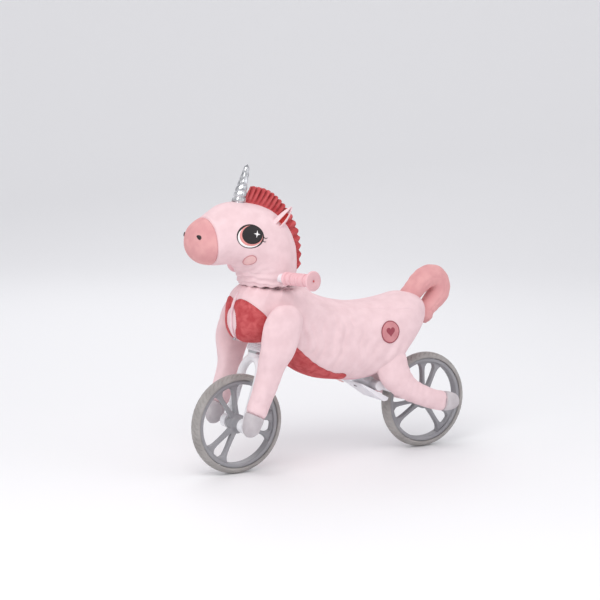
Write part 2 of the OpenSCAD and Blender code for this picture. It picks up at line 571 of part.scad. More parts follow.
module horn() color("silver") translate(head_at(horn_s, 0, -4)) rotate([0, -horn_lean, 0]) difference() {
    translate([0, 0, 7]) rotate_extrude() polygon([[0, 0],
        for (i = [0:horn_turns * 2]) let (f = i / (horn_turns * 2)) [(horn_r - (i % 2) * 1.6) * (1 - 0.86 * f), f * (horn_len - 7)],
        [0, horn_len - 5]]);
}
ear_rows = [for (r = [
    // forward of the axle, height, turn, half length, half thickness, y of the centre
    [-62, 478, 44, 11, 5, 56], [-76, 493, 44, 15, 7, 60], [-92, 508, 44, 15, 7, 64], [-107, 524, 44, 11, 6, 66],
    [-118, 536, 44, 4, 3, 66]])
    [front_x + r[0], axle_z + r[1], r[2], r[3], r[4], r[5]]];
module ear(m) color("lightpink") mirror([0, m, 0]) difference() {
    limb(ear_rows, 0, 1, 8, 16);
    head_solid(0.45, 1, gap);
}
module ear_left() ear(0);
module ear_right() ear(1);
module eye(m) color("black") mirror([0, m, 0]) head_patch(0.575, 89, 0.092, 21);
module eye_left() eye(0);
module eye_right() eye(1);
module cheek(m) color("salmon") mirror([0, m, 0]) head_patch(0.70, 133, 0.055, 9);
module cheek_left() cheek(0);
module cheek_right() cheek(1);
module nostrils() color("black") both_sides() head_patch(0.13, 62, 0.014, 7, 12);

main_frame();
headset_cups();
headset_bearings();
headset_boot();
seat_clamp();
seat_clamp_bolt();
footrest();
footrest_screws();
rear_axle();
rear_axle_nuts();
rear_spacers();
body_cover();
chest_panel_left();
chest_panel_right();
belly_panel();
belly_tab();
chest_zip();
zip_slider();
badge_left();
badge_right();
front_leg_left();
front_leg_right();
front_hoof_left();
front_hoof_right();
rear_leg_left();
rear_leg_right();
rear_hoof_left();
rear_hoof_right();
tail();
saddle_pad();
saddle_base();
seat_post();
fork();
crown_race();
headset_nut();
front_axle();
front_axle_nuts();
front_spacers();
stem();
stem_bolts();
handlebar();
grip_left();
grip_right();
head();
muzzle();
mane();
horn();
ear_left();
ear_right();
eye_left();
eye_right();
cheek_left();
cheek_right();
nostrils();
front_rim();
front_tyre();
front_bearings();
rear_rim();
rear_tyre();
rear_bearings();
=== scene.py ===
# %% [markdown]
# This lesson dresses a ride-on toy: a two-wheeled balance bike under a padded unicorn.
# The hard frame comes from the CAD model, in metres, with +X forward, +Y left and +Z up.
# Everything soft is built here, at the size and in the place that the CAD gives it.

# %% Load the fixed frame and note its box
import math
import bmesh
import bpy
import numpy as np
from mathutils import Matrix, Vector


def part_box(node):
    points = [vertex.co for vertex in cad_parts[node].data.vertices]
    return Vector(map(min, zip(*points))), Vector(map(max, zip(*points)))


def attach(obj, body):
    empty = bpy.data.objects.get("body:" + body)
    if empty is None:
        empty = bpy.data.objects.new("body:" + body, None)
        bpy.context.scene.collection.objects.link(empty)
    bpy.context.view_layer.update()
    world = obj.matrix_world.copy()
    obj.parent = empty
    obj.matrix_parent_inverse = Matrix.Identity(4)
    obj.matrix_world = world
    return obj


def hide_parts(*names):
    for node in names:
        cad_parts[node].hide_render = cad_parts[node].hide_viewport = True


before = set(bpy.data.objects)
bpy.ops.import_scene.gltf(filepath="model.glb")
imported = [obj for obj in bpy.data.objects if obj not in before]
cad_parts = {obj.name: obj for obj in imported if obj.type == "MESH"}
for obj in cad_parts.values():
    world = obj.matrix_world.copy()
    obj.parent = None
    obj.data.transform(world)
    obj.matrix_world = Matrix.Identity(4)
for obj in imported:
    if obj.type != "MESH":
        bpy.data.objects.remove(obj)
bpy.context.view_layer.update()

scene = bpy.context.scene

# %% [markdown]
# Four numbers fix where everything goes: both axles, the tyre's height and the steering line.
# They are measured from the CAD nodes, so the looks follow if the bike's size ever changes.

# %% Where the axles and the steering line are
MM = 0.001
front_low, front_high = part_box("front_tyre")
rear_low, rear_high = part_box("rear_tyre")
front_x = (front_low.x + front_high.x) / 2 / MM
rear_x = (rear_low.x + rear_high.x) / 2 / MM
axle_z = (front_low.z + front_high.z) / 2 / MM
wheelbase = front_x - rear_x
tyre_top = 2 * axle_z
RAKE = math.radians(18)
STEER = np.array([-math.sin(RAKE), 0, math.cos(RAKE)])
print(f"axles at x = {rear_x:.1f} and {front_x:.1f} mm, {axle_z:.0f} mm up")

# %% [markdown]
# A plush toy is sewn from panels, but its stuffed shape is a smooth skin over ovals.
# Each part is a short table of ovals, and a smooth curve through the rows gives any oval between.
# Ovals with flattened sides come from a power of the sine and cosine.

# %% Smooth rows and flattened ovals
def row_at(table, s):
    """Rows of a table at shares s of its length, with a smooth curve between them."""
    table = np.asarray(table, float)
    s = np.clip(np.atleast_1d(np.asarray(s, float)), 0, 1)
    n = len(table) - 1
    i = np.minimum((s * n).astype(int), n - 1)
    f = (s * n - i)[:, None]
    a, b, c, d = (table[np.clip(i + k, 0, n)] for k in (-1, 0, 1, 2))
    return 0.5 * (2 * b + (c - a) * f + (2 * a - 5 * b + 4 * c - d) * f**2 + (3 * b - a - 3 * c + d) * f**3)


def flat(v, n):
    return np.sign(v) * np.abs(v) ** (2 / n)


def ramp(v, low, high):
    """Rises smoothly from 0 at low to 1 at high."""
    t = np.clip((np.asarray(v, float) - low) / (high - low), 0, 1)
    return t * t * (3 - 2 * t)


def ridge(v, width):
    return np.exp(-(np.asarray(v, float) / width) ** 2)


def lumps(points, size, seed):
    """Soft unevenness from -1 to 1, with bumps about size mm across, the same on each run."""
    rng = np.random.default_rng(seed)
    total = np.zeros(points.shape[:-1])
    for k in range(7):
        way = rng.normal(size=3)
        way *= 2 * math.pi / (size * rng.uniform(0.7, 1.5)) / np.linalg.norm(way)
        total += np.sin(points @ way + rng.uniform(0, 6.3))
    return total / 4


print("top of the tyre above the ground in mm:", tyre_top)

# %% [markdown]
# The torso, the head and the limbs are round shapes whose width and height change along their length.
# They could be sculpted by hand, but tables of ovals stay readable and keep the sizes exact.
# Each row gives one oval, and the functions below turn a share of the length and a turn into a point.

# %% The torso, the head and the limbs as tables of ovals
BODY_ROWS = [  # share of the wheelbase, top and bottom above the tyres, half width
    [0.020, 126, 104, 16], [0.041, 147, 82, 40], [0.082, 162, 52, 61], [0.142, 167, 18, 76],
    [0.215, 161, -16, 84], [0.300, 155, -36, 89], [0.390, 154, -43, 89], [0.480, 161, -40, 89],
    [0.570, 176, -33, 89], [0.660, 196, -18, 89], [0.735, 209, 8, 89], [0.805, 216, 42, 88],
    [0.875, 219, 66, 85], [0.938, 216, 77, 78], [0.982, 206, 84, 64], [1.010, 180, 96, 42],
    [1.024, 154, 118, 20]]
THROAT = (front_x + 40, tyre_top + 232)
HEAD_ROWS = [  # forward of the throat, fan angle, near and far edge from the throat, half width
    [94, 0, 92, 112, 12], [88, 0, 74, 130, 30], [78, 0, 61, 145, 43],
    [62, 0, 51, 156, 53], [44, 0, 46, 164, 59], [22, 0, 44, 177, 64], [0, 0, 44, 189, 69],
    [0, 10, 45, 198, 74], [0, 22, 47, 204, 78], [0, 36, 49, 214, 81], [0, 50, 51, 218, 82],
    [0, 64, 53, 214, 80], [0, 77, 55, 205, 76], [0, 90, 58, 197, 72]]


def muzzle_seam(t):
    """Share of the head where the muzzle ends: further forward on top than below."""
    return 0.313 - 0.022 * np.cos(t)


def body_at(s, t, out=0.0):
    """Points on the torso at share s from the rump, turned t from the top towards +Y, in mm."""
    r = row_at(BODY_ROWS, s)
    mid, half = (r[:, 1] + r[:, 2]) / 2, (r[:, 1] - r[:, 2]) / 2
    return np.stack([rear_x + r[:, 0] * wheelbase, (r[:, 3] + out) * flat(np.sin(t), 2.5),
                     tyre_top + mid + (half + out) * flat(np.cos(t), 2.5)], -1)


def head_at(s, t, out=0.0):
    """Points on the head at share s from the nose to the neck, in mm."""
    r = row_at(HEAD_ROWS, s)
    angle = np.radians(r[:, 1])
    d = (r[:, 2] + r[:, 3]) / 2 + ((r[:, 3] - r[:, 2]) / 2 + out) * flat(np.cos(t), 2.15)
    return np.stack([THROAT[0] + r[:, 0] - np.sin(angle) * d, (r[:, 4] + out) * flat(np.sin(t), 2.15),
                     THROAT[1] + np.cos(angle) * d], -1)


def limb_at(rows, s, t):
    """Points round a limb: rows hold x, z, turn, long and side half size, and y."""
    r = row_at(rows, s)
    u, a = r[:, 3] * flat(np.cos(t), 2.3), np.radians(r[:, 2])
    return np.stack([r[:, 0] + np.cos(a) * u, r[:, 5] + r[:, 4] * flat(np.sin(t), 2.3), r[:, 1] + np.sin(a) * u], -1)


def grid(surface, s_values, around):
    """A surface sampled as rings by points, closed round each ring."""
    t = np.linspace(0, 2 * math.pi, around, endpoint=False)
    return np.stack([surface(np.full(around, s), t) for s in s_values])


def grid_normals(p):
    """Outward normals of a grid of rings."""
    along = np.gradient(p, axis=0)
    round_ = np.roll(p, -1, axis=1) - np.roll(p, 1, axis=1)
    n = np.cross(along, round_)
    n /= np.linalg.norm(n, axis=-1, keepdims=True) + 1e-9
    centre = p.mean(axis=1, keepdims=True)
    if ((p - centre) * n).sum() < 0:
        n = -n
    return n


print("torso length in mm:", round(float(body_at(1, [0])[0, 0] - body_at(0, [0])[0, 0])))

# %% [markdown]
# Small helpers turn arrays of points into Blender meshes, close their ends and keep normals outward.
# Each piece is then hung on the body it rides on and given the finish it takes.

# %% From points to pieces
def mesh_object(name, verts, faces, smooth=True):
    """A new mesh object from points in mm."""
    mesh = bpy.data.meshes.new(name)
    mesh.from_pydata((np.asarray(verts, float).reshape(-1, 3) * MM).tolist(), [], faces)
    mesh.validate()
    work = bmesh.new()
    work.from_mesh(mesh)
    bmesh.ops.recalc_face_normals(work, faces=work.faces)
    if work.calc_volume(signed=True) < 0:
        bmesh.ops.reverse_faces(work, faces=work.faces)
    work.to_mesh(mesh)
    work.free()
    mesh.shade_smooth() if smooth else mesh.shade_flat()
    made = bpy.data.objects.new(name, mesh)
    scene.collection.objects.link(made)
    return made


def loft(name, p, ends=(True, True), smooth=True):
    """A closed skin over a grid of rings, with a fan over each end that is wanted."""
    m, n = p.shape[:2]
    i, j = np.meshgrid(np.arange(m - 1), np.arange(n), indexing="ij")
    a, b = i * n + j, i * n + (j + 1) % n
    faces = np.stack([a, b, b + n, a + n], -1).reshape(-1, 4).tolist()
    verts = [*p.reshape(-1, 3)]
    for wanted, ring, start in ((ends[0], p[0], 0), (ends[1], p[-1], (m - 1) * n)):
        if wanted:
            verts.append(ring.mean(axis=0))
            faces += [[len(verts) - 1, start + k, start + (k + 1) % n] for k in range(n)]
    return mesh_object(name, verts, faces, smooth)


print("helpers ready: mesh_object, loft")

# %% [markdown]
# Wheels are turned and pipings are round bars, so two more makers spin a profile or follow a path.
# Both give closed skins with even faces, which bend and shade well.

# %% Turned pieces and round bars
def lathe(name, profile, x, steps=96, z=None):
    """A closed profile of (radius, y) turned about an axle at x, in mm."""
    a = np.linspace(0, 2 * math.pi, steps, endpoint=False)
    profile = np.asarray(profile, float)
    ring = [np.stack([x + r * np.cos(a), np.full(steps, y), (axle_z if z is None else z) + r * np.sin(a)], -1) for r, y in profile]
    ring.append(ring[0])
    p = np.stack(ring)
    m, n = len(profile), steps
    faces = [[(i % m) * n + j, (i % m) * n + (j + 1) % n, ((i + 1) % m) * n + (j + 1) % n, ((i + 1) % m) * n + j]
             for i in range(m) for j in range(n)]
    return mesh_object(name, p[:-1].reshape(-1, 3), faces)


def tube(name, path, radius, sides=10, closed=False):
    """A round bar along a path of points, in mm. radius is one number or one for each point."""
    path = np.asarray(path, float)
    radius = np.broadcast_to(np.asarray(radius, float), (len(path),))
    ahead = (np.roll(path, -1, 0) - np.roll(path, 1, 0)) if closed else np.gradient(path, axis=0)
    ahead /= np.linalg.norm(ahead, axis=1, keepdims=True) + 1e-9
    side = np.cross(ahead, [0.13, 0.31, 0.94])
    side /= np.linalg.norm(side, axis=1, keepdims=True) + 1e-9
    up = np.cross(side, ahead)
    a = np.linspace(0, 2 * math.pi, sides, endpoint=False)
    p = path[:, None] + radius[:, None, None] * (np.cos(a)[None, :, None] * side[:, None] + np.sin(a)[None, :, None] * up[:, None])
    if closed:
        p = np.concatenate([p, p[:1]])
        made = loft(name, p, (False, False))
        with_weld(made)
        return made
    return loft(name, p)


def with_weld(piece, distance=0.00002):
    work = bmesh.new()
    work.from_mesh(piece.data)
    bmesh.ops.remove_doubles(work, verts=work.verts, dist=distance)
    bmesh.ops.recalc_face_normals(work, faces=work.faces)
    work.to_mesh(piece.data)
    work.free()
    piece.data.shade_smooth()


print("helpers ready: lathe, tube, with_weld")

# %% [markdown]
# Modifiers are made real before a piece is dressed, so that each piece is a plain mesh.
# Each piece is then dressed: it gets its finish and the body it rides on, and the CAD nodes it stands for are hidden.

# %% Settling, joining and dressing a piece
def settled(piece):
    """The piece with its modifiers made real, as a plain mesh."""
    graph = bpy.context.evaluated_depsgraph_get()
    mesh = bpy.data.meshes.new_from_object(piece.evaluated_get(graph))
    piece.modifiers.clear()
    old = piece.data
    piece.data = mesh
    bpy.data.meshes.remove(old)
    return piece


def joined(name, pieces):
    """Several pieces as one object, with their materials kept."""
    with bpy.context.temp_override(active_object=pieces[0], selected_editable_objects=pieces):
        bpy.ops.object.join()
    pieces[0].name = name
    return pieces[0]


def dress(piece, body, slot, *nodes, fill=None, paint=None):
    """Dresses a finished piece: hangs it on the body it rides on, gives it its finish and hides the CAD nodes it
    stands for.
    """
    if paint:
        piece.data.materials.clear()
        piece.data.materials.append(paint)
    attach(piece, body)
    if nodes:
        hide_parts(*nodes)
    return piece


def mirrored(name, piece):
    """A copy on the other side of the middle plane."""
    made = piece.copy()
    made.data = piece.data.copy()
    made.name = name
    scene.collection.objects.link(made)
    made.data.transform(Matrix.Scale(-1, 4, (0, 1, 0)))
    made.data.flip_normals()
    return made


print("helpers ready: settled, joined, dress, mirrored")

# %% [markdown]
# Every finish is procedural, so it needs no picture files and works from every side.
# Short plush shows as a fine, soft grain with a pale sheen at grazing angles.
# Velvet has the same grain, and its nap lies in patches that catch the light differently.

# %% Finishes for cloth
def srgb(r, g, b):
    """A colour as seen on a screen, 0 to 255, as the light values that a shader wants."""
    c = [v / 255 for v in (r, g, b)]
    return [v / 12.92 if v <= 0.04045 else ((v + 0.055) / 1.055) ** 2.4 for v in c] + [1]


def new_finish(name, colour, roughness, **values):
    """A Principled finish with one colour. values are more of its sockets, by name."""
    made = bpy.data.materials.new(name)
    made.use_nodes = True
    shader = made.node_tree.nodes["Principled BSDF"]
    shader.inputs["Base Color"].default_value = colour
    shader.inputs["Roughness"].default_value = roughness
    for socket, value in values.items():
        shader.inputs[socket.replace("_", " ")].default_value = value
    made.diffuse_color = colour
    return made


def add_grain(finish, scale, depth, strength=0.6, detail=3.0):
    """A fine relief. scale is per metre and depth in metres."""
    tree = finish.node_tree
    shader = tree.nodes["Principled BSDF"]
    where = tree.nodes.new("ShaderNodeTexCoord")
    noise = tree.nodes.new("ShaderNodeTexNoise")
    noise.inputs["Scale"].default_value = scale
    noise.inputs["Detail"].default_value = detail
    bump = tree.nodes.new("ShaderNodeBump")
    bump.inputs["Strength"].default_value = strength
    bump.inputs["Distance"].default_value = depth
    tree.links.new(where.outputs["Object"], noise.inputs["Vector"])
    tree.links.new(noise.outputs["Fac"], bump.inputs["Height"])
    tree.links.new(bump.outputs["Normal"], shader.inputs["Normal"])
    return finish


def add_patches(finish, light, dark, scale, low=0.35, high=0.65, distort=0.0):
    """Lets the colour drift between light and dark in patches. scale is per metre."""
    tree = finish.node_tree
    shader = tree.nodes["Principled BSDF"]
    where = tree.nodes.new("ShaderNodeTexCoord")
    noise = tree.nodes.new("ShaderNodeTexNoise")
    noise.inputs["Scale"].default_value = scale
    noise.inputs["Detail"].default_value = 2.5
    noise.inputs["Distortion"].default_value = distort
    colours = tree.nodes.new("ShaderNodeValToRGB")
    colours.color_ramp.elements[0].position = low
    colours.color_ramp.elements[0].color = dark
    colours.color_ramp.elements[1].position = high
    colours.color_ramp.elements[1].color = light
    tree.links.new(where.outputs["Object"], noise.inputs["Vector"])
    tree.links.new(noise.outputs["Fac"], colours.inputs["Fac"])
    tree.links.new(colours.outputs["Color"], shader.inputs["Base Color"])
    return finish


def cloth(name, colour, light, dark, sheen, grain=(1500, 0.0006), patch=35, distort=0.0):
    made = new_finish(name, srgb(*colour), 0.95, Sheen_Weight=sheen, Sheen_Roughness=0.45,
                      Specular_IOR_Level=0.15)
    made.node_tree.nodes["Principled BSDF"].inputs["Sheen Tint"].default_value = srgb(*light)
    add_grain(made, grain[0], grain[1])
    return add_patches(made, srgb(*light), srgb(*dark), patch, distort=distort)


print("helpers ready: srgb, new_finish, add_grain, add_patches, cloth")

# %% [markdown]
# The cloths share one maker, so they differ in colour and roughness only.
# Each cloth has a middle colour and a lighter and a darker one for its patches.

# %% The cloths, threads and printed colours
pink_plush = cloth("pink_plush", (234, 205, 209), (238, 209, 213), (230, 200, 204), 0.25)
salmon_plush = cloth("salmon_plush", (222, 164, 165), (226, 169, 169), (216, 156, 158), 0.25)
rose_velvet = cloth("rose_velvet", (193, 85, 88), (204, 100, 102), (182, 72, 76), 0.4, patch=55, distort=0.5)
hoof_plush = cloth("hoof_plush", (196, 189, 193), (202, 196, 199), (188, 181, 185), 0.2)
badge_plush = cloth("badge_plush", (206, 142, 146), (212, 148, 152), (198, 132, 137), 0.2)
blush_plush = cloth("blush_plush", (235, 194, 193), (238, 199, 197), (230, 186, 186), 0.2)
# This dark red cloth colour is painted shade. It stands for the shadow inside the neck and under the head, and is not
# a real lining.
dark_lining = cloth("dark_lining", (120, 34, 42), (140, 44, 52), (96, 24, 32), 0.2)
coral_lining = cloth("coral_lining", (232, 92, 88), (238, 110, 104), (216, 72, 70), 0.3)
piping_cloth = cloth("piping_cloth", (240, 205, 212), (244, 212, 218), (232, 196, 204), 0.2)
rose_thread = new_finish("rose_thread", srgb(150, 62, 76), 0.6)
pale_thread = new_finish("pale_thread", srgb(222, 178, 186), 0.7)
black_print = add_grain(new_finish("black_print", srgb(30, 24, 26), 0.55), 2500, 0.0002)
white_print = add_grain(new_finish("white_print", srgb(246, 244, 244), 0.6), 2500, 0.0002)
salmon_print = add_grain(new_finish("salmon_print", srgb(226, 150, 146), 0.6), 2500, 0.0002)
print("cloth finishes:", len(bpy.data.materials))

# %% [markdown]
# The hard parts are moulded plastic, foam rubber, painted tube, steel and brass.
# Moulded plastic has a very fine grain. Foam rubber is dull and slightly uneven in colour.

# %% Finishes for hard parts
white_paint = new_finish("white_paint", srgb(238, 238, 242), 0.28, Coat_Weight=0.6, Coat_Roughness=0.12)
white_plastic = add_grain(new_finish("white_plastic", srgb(234, 233, 238), 0.5), 2500, 0.0001)
black_plastic = add_grain(new_finish("black_plastic", srgb(34, 34, 36), 0.5), 2500, 0.0001)
steel = add_grain(new_finish("steel", srgb(186, 186, 190), 0.32, Metallic=1.0), 900, 0.00005)
brass = add_grain(new_finish("brass", srgb(158, 126, 74), 0.35, Metallic=1.0), 900, 0.00005)
wheel_plastic = add_patches(add_grain(new_finish("wheel_plastic", srgb(150, 149, 153), 0.42), 2200, 0.00012, 0.5),
                            srgb(154, 153, 157), srgb(145, 144, 149), 20)
tyre_foam = add_patches(add_grain(new_finish("tyre_foam", srgb(160, 156, 154), 0.8), 1400, 0.0003),
                        srgb(166, 162, 160), srgb(152, 148, 146), 30)
grip_rubber = add_grain(new_finish("grip_rubber", srgb(236, 192, 198), 0.6), 1800, 0.00015)
# A deeper pink for the grip ends. This is painted shade, not a different rubber.
grip_rubber_painted_shade = add_grain(new_finish("grip_rubber_painted_shade", srgb(220, 176, 181), 0.65), 1800, 0.00015)
red_rubber = new_finish("red_rubber", srgb(196, 74, 76), 0.5)
saddle_vinyl = add_grain(new_finish("saddle_vinyl", srgb(60, 58, 62), 0.5), 700, 0.0004)
horn_foil = new_finish("horn_foil", srgb(206, 207, 210), 0.22, Metallic=1.0)
add_grain(horn_foil, 110, 0.0012, strength=0.35, detail=0)
add_patches(horn_foil, srgb(232, 233, 236), srgb(150, 151, 155), 60)

NODE_FINISH = {
    "main_frame": white_paint, "fork": white_paint, "stem": white_paint, "handlebar": white_paint,
    "headset_boot": white_plastic, "footrest": white_plastic, "saddle_base": black_plastic,
    "grip_left": grip_rubber, "grip_right": grip_rubber, "front_bearings": brass, "rear_bearings": brass}
for node_name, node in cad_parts.items():
    node.data.materials.clear()
    node.data.materials.append(NODE_FINISH.get(node_name, steel))
print("hard nodes with their own finish:", len(NODE_FINISH))

# %% [markdown]
# Real stitches, zip teeth and studs repeat along a seam. One Geometry Nodes tree does all of them:
# it sets a small capsule at each point of a path, laid along the seam and standing out of the cloth.
# Two stored directions at each point say which way is along and which way is out.

# %% A tree that sews small capsules along a path
def sewing_tree():
    tree = bpy.data.node_groups.new("sew_along", "GeometryNodeTree")
    face = tree.interface
    face.new_socket("Geometry", in_out="INPUT", socket_type="NodeSocketGeometry")
    for name, value in (("Stitch Length", 0.003), ("Stitch Width", 0.0009), ("Stitch Height", 0.0006)):
        face.new_socket(name, in_out="INPUT", socket_type="NodeSocketFloat").default_value = value
    face.new_socket("Thread", in_out="INPUT", socket_type="NodeSocketMaterial")
    face.new_socket("Geometry", in_out="OUTPUT", socket_type="NodeSocketGeometry")
    new, link = tree.nodes.new, tree.links.new
    start, end = new("NodeGroupInput"), new("NodeGroupOutput")
    points = new("GeometryNodeMeshToPoints")
    ball = new("GeometryNodeMeshUVSphere")
    ball.inputs["Segments"].default_value = 8
    ball.inputs["Rings"].default_value = 5
    ball.inputs["Radius"].default_value = 0.5
    along, out = new("GeometryNodeInputNamedAttribute"), new("GeometryNodeInputNamedAttribute")
    for node, attribute in ((along, "along"), (out, "outward")):
        node.data_type = "FLOAT_VECTOR"
        node.inputs["Name"].default_value = attribute
    stand = new("FunctionNodeAlignRotationToVector")
    stand.axis = "Z"
    lay = new("FunctionNodeAlignRotationToVector")
    lay.axis = "X"
    lay.pivot_axis = "Z"
    size = new("ShaderNodeCombineXYZ")
    place = new("GeometryNodeInstanceOnPoints")
    real = new("GeometryNodeRealizeInstances")
    finish = new("GeometryNodeSetMaterial")
    link(start.outputs["Geometry"], points.inputs["Mesh"])
    link(out.outputs["Attribute"], stand.inputs["Vector"])
    link(stand.outputs["Rotation"], lay.inputs["Rotation"])
    link(along.outputs["Attribute"], lay.inputs["Vector"])
    link(start.outputs["Stitch Length"], size.inputs["X"])
    link(start.outputs["Stitch Width"], size.inputs["Y"])
    link(start.outputs["Stitch Height"], size.inputs["Z"])
    link(points.outputs["Points"], place.inputs["Points"])
    link(ball.outputs["Mesh"], place.inputs["Instance"])
    link(lay.outputs["Rotation"], place.inputs["Rotation"])
    link(size.outputs["Vector"], place.inputs["Scale"])
    link(place.outputs["Instances"], real.inputs["Geometry"])
    link(real.outputs["Geometry"], finish.inputs["Geometry"])
    link(start.outputs["Thread"], finish.inputs["Material"])
    link(finish.outputs["Geometry"], end.inputs["Geometry"])
    return tree


SEW = sewing_tree()
print("sewing tree inputs:", [item.name for item in SEW.interface.items_tree][:5])

# %% [markdown]
# A row of stitches needs evenly spaced points, and the way along and the way out at each of them.
# These helpers find the points on any path, store the two ways, and let the tree do the sewing.

# %% Sewing a row of stitches


def evenly(path, step, closed=False):
    """Points every step mm along a path."""
    path = np.asarray(path, float)
    if closed:
        path = np.concatenate([path, path[:1]])
    run = np.concatenate([[0], np.cumsum(np.linalg.norm(np.diff(path, axis=0), axis=1))])
    count = max(2, int(run[-1] / step))
    where = (np.arange(count) + 0.5) * run[-1] / count
    return np.stack([np.interp(where, run, path[:, k]) for k in range(3)], -1), where / run[-1]


def stitched(name, spots, along, outward, sizes, body, slot, finish):
    """Sews one capsule at each spot. sizes are its length, width and height in mm."""
    mesh = bpy.data.meshes.new(name)
    mesh.from_pydata((spots * MM).tolist(), [], [])
    for attribute, value in (("along", along), ("outward", outward)):
        data = mesh.attributes.new(attribute, "FLOAT_VECTOR", "POINT").data
        data.foreach_set("vector", (value / (np.linalg.norm(value, axis=1, keepdims=True) + 1e-9)).ravel())
    made = bpy.data.objects.new(name, mesh)
    scene.collection.objects.link(made)
    modifier = made.modifiers.new("sew", "NODES")
    modifier.node_group = SEW
    sockets = {item.name: item.identifier for item in SEW.interface.items_tree if item.in_out == "INPUT"}
    for label, value in zip(("Stitch Length", "Stitch Width", "Stitch Height"), sizes):
        modifier[sockets[label]] = value * MM
    modifier[sockets["Thread"]] = finish
    settled(made).data.shade_smooth()
    return dress(made, body, slot)


def along_share(values, share):
    """Directions given evenly along a path, found at shares of its length."""
    given = np.linspace(0, 1, len(values))
    return np.stack([np.interp(share, given, np.asarray(values)[:, k]) for k in range(3)], -1)


def sewn(name, path, outward, body, slot, finish, step=4.2, length=3.0, width=0.9, height=0.9, closed=False):
    """A run of stitches, or teeth, along a path in mm. outward has a direction for each point of the path."""
    spots, share = evenly(path, step, closed)
    ahead = (np.roll(spots, -1, 0) - np.roll(spots, 1, 0)) if closed else np.gradient(spots, axis=0)
    return stitched(name, spots, ahead, along_share(outward, share), (length, width, height), body, slot, finish)


print("stitches are 3 mm long, and start every 4.2 mm, unless a row says otherwise")

# %% [markdown]
# Each wheel is one grey moulding: a deep rim band, three pairs of spokes and a hub.
# The band and the hub are turned shapes, so a profile spun round the axle makes them.
# One pair of spokes is drawn flat, given thickness and soft edges, and repeated by a tree.

# %% One pair of spokes, drawn flat about the wheel's centre
RIM_R, BAND, RIM_W, HUB_R, HUB_W = 110.0, 11.0, 26.0, 19.0, 50.0
SPLAY = 14.0


def spoke_outline():
    """Outline and slot of one pair of spokes, in mm, with the pair's middle line along +X."""
    def along(r, angle, side):
        a = math.radians(angle)
        return [r * math.cos(a) - side * math.sin(a), r * math.sin(a) + side * math.cos(a)]
    inner = RIM_R - BAND
    widths = [(17, 6.5), (27, 6.0), (40, 4.9), (60, 4.3), (76, 4.6), (86, 6.2), (93, 9.6), (97, 14.0), (inner + 3, 20.0)]
    upper = [along(r, SPLAY, w) for r, w in widths]
    rim = [[(inner + 3) * math.cos(a), (inner + 3) * math.sin(a)] for a in np.radians(np.linspace(24.5, -24.5, 25))]
    lower = [[x, -y] for x, y in upper[::-1]]
    hub = [[17 * math.cos(a), 17 * math.sin(a)] for a in np.radians(np.linspace(-36, 36, 9))]
    slot_widths = [(34, -5.2), (44, -4.7), (60, -4.3), (76, -4.6), (86, -6.0), (91, -9.5), (94, -13.5)]
    slot = [along(r, SPLAY, w) for r, w in slot_widths]
    end = [[95.5 * math.cos(a), 95.5 * math.sin(a)] for a in np.radians(np.linspace(4.6, -4.6, 7))]
    slot = [[30.5, 0.0]] + slot + end + [[x, -y] for x, y in slot[::-1]]
    return [upper + rim[1:-1] + lower + hub[1:-1], slot]


def flat_plate(name, outlines, thickness, edge):
    """A flat plate with holes and rounded edges, from outlines in mm, lying in the wheel's plane."""
    curve = bpy.data.curves.new(name, "CURVE")
    curve.dimensions = "2D"
    curve.fill_mode = "BOTH"
    curve.extrude = (thickness / 2 - edge) * MM
    curve.bevel_depth = edge * MM
    curve.bevel_resolution = 3
    curve.offset = -edge * MM
    for outline in outlines:
        line = curve.splines.new("POLY")
        line.points.add(len(outline) - 1)
        for point, (x, y) in zip(line.points, outline):
            point.co = (x * MM, y * MM, 0, 1)
        line.use_cyclic_u = True
    flat_piece = bpy.data.objects.new(name, curve)
    scene.collection.objects.link(flat_piece)
    mesh = bpy.data.meshes.new_from_object(flat_piece.evaluated_get(bpy.context.evaluated_depsgraph_get()))
    bpy.data.objects.remove(flat_piece)
    co = np.array([v.co for v in mesh.vertices])
    mesh.vertices.foreach_set("co", np.stack([co[:, 0], -co[:, 2], co[:, 1]], -1).astype(np.float32).ravel())
    made = bpy.data.objects.new(name, mesh)
    scene.collection.objects.link(made)
    mesh.shade_smooth()
    return made


print("helpers ready: spoke_outline, flat_plate")

# %% [markdown]
# The three pairs of spokes are the same, so only one is drawn and Geometry Nodes set the rest.
# Copying by hand would work for three, but the tree takes any count, a first angle and an axle.
# The copies are settled into plain geometry before the wheel is joined.

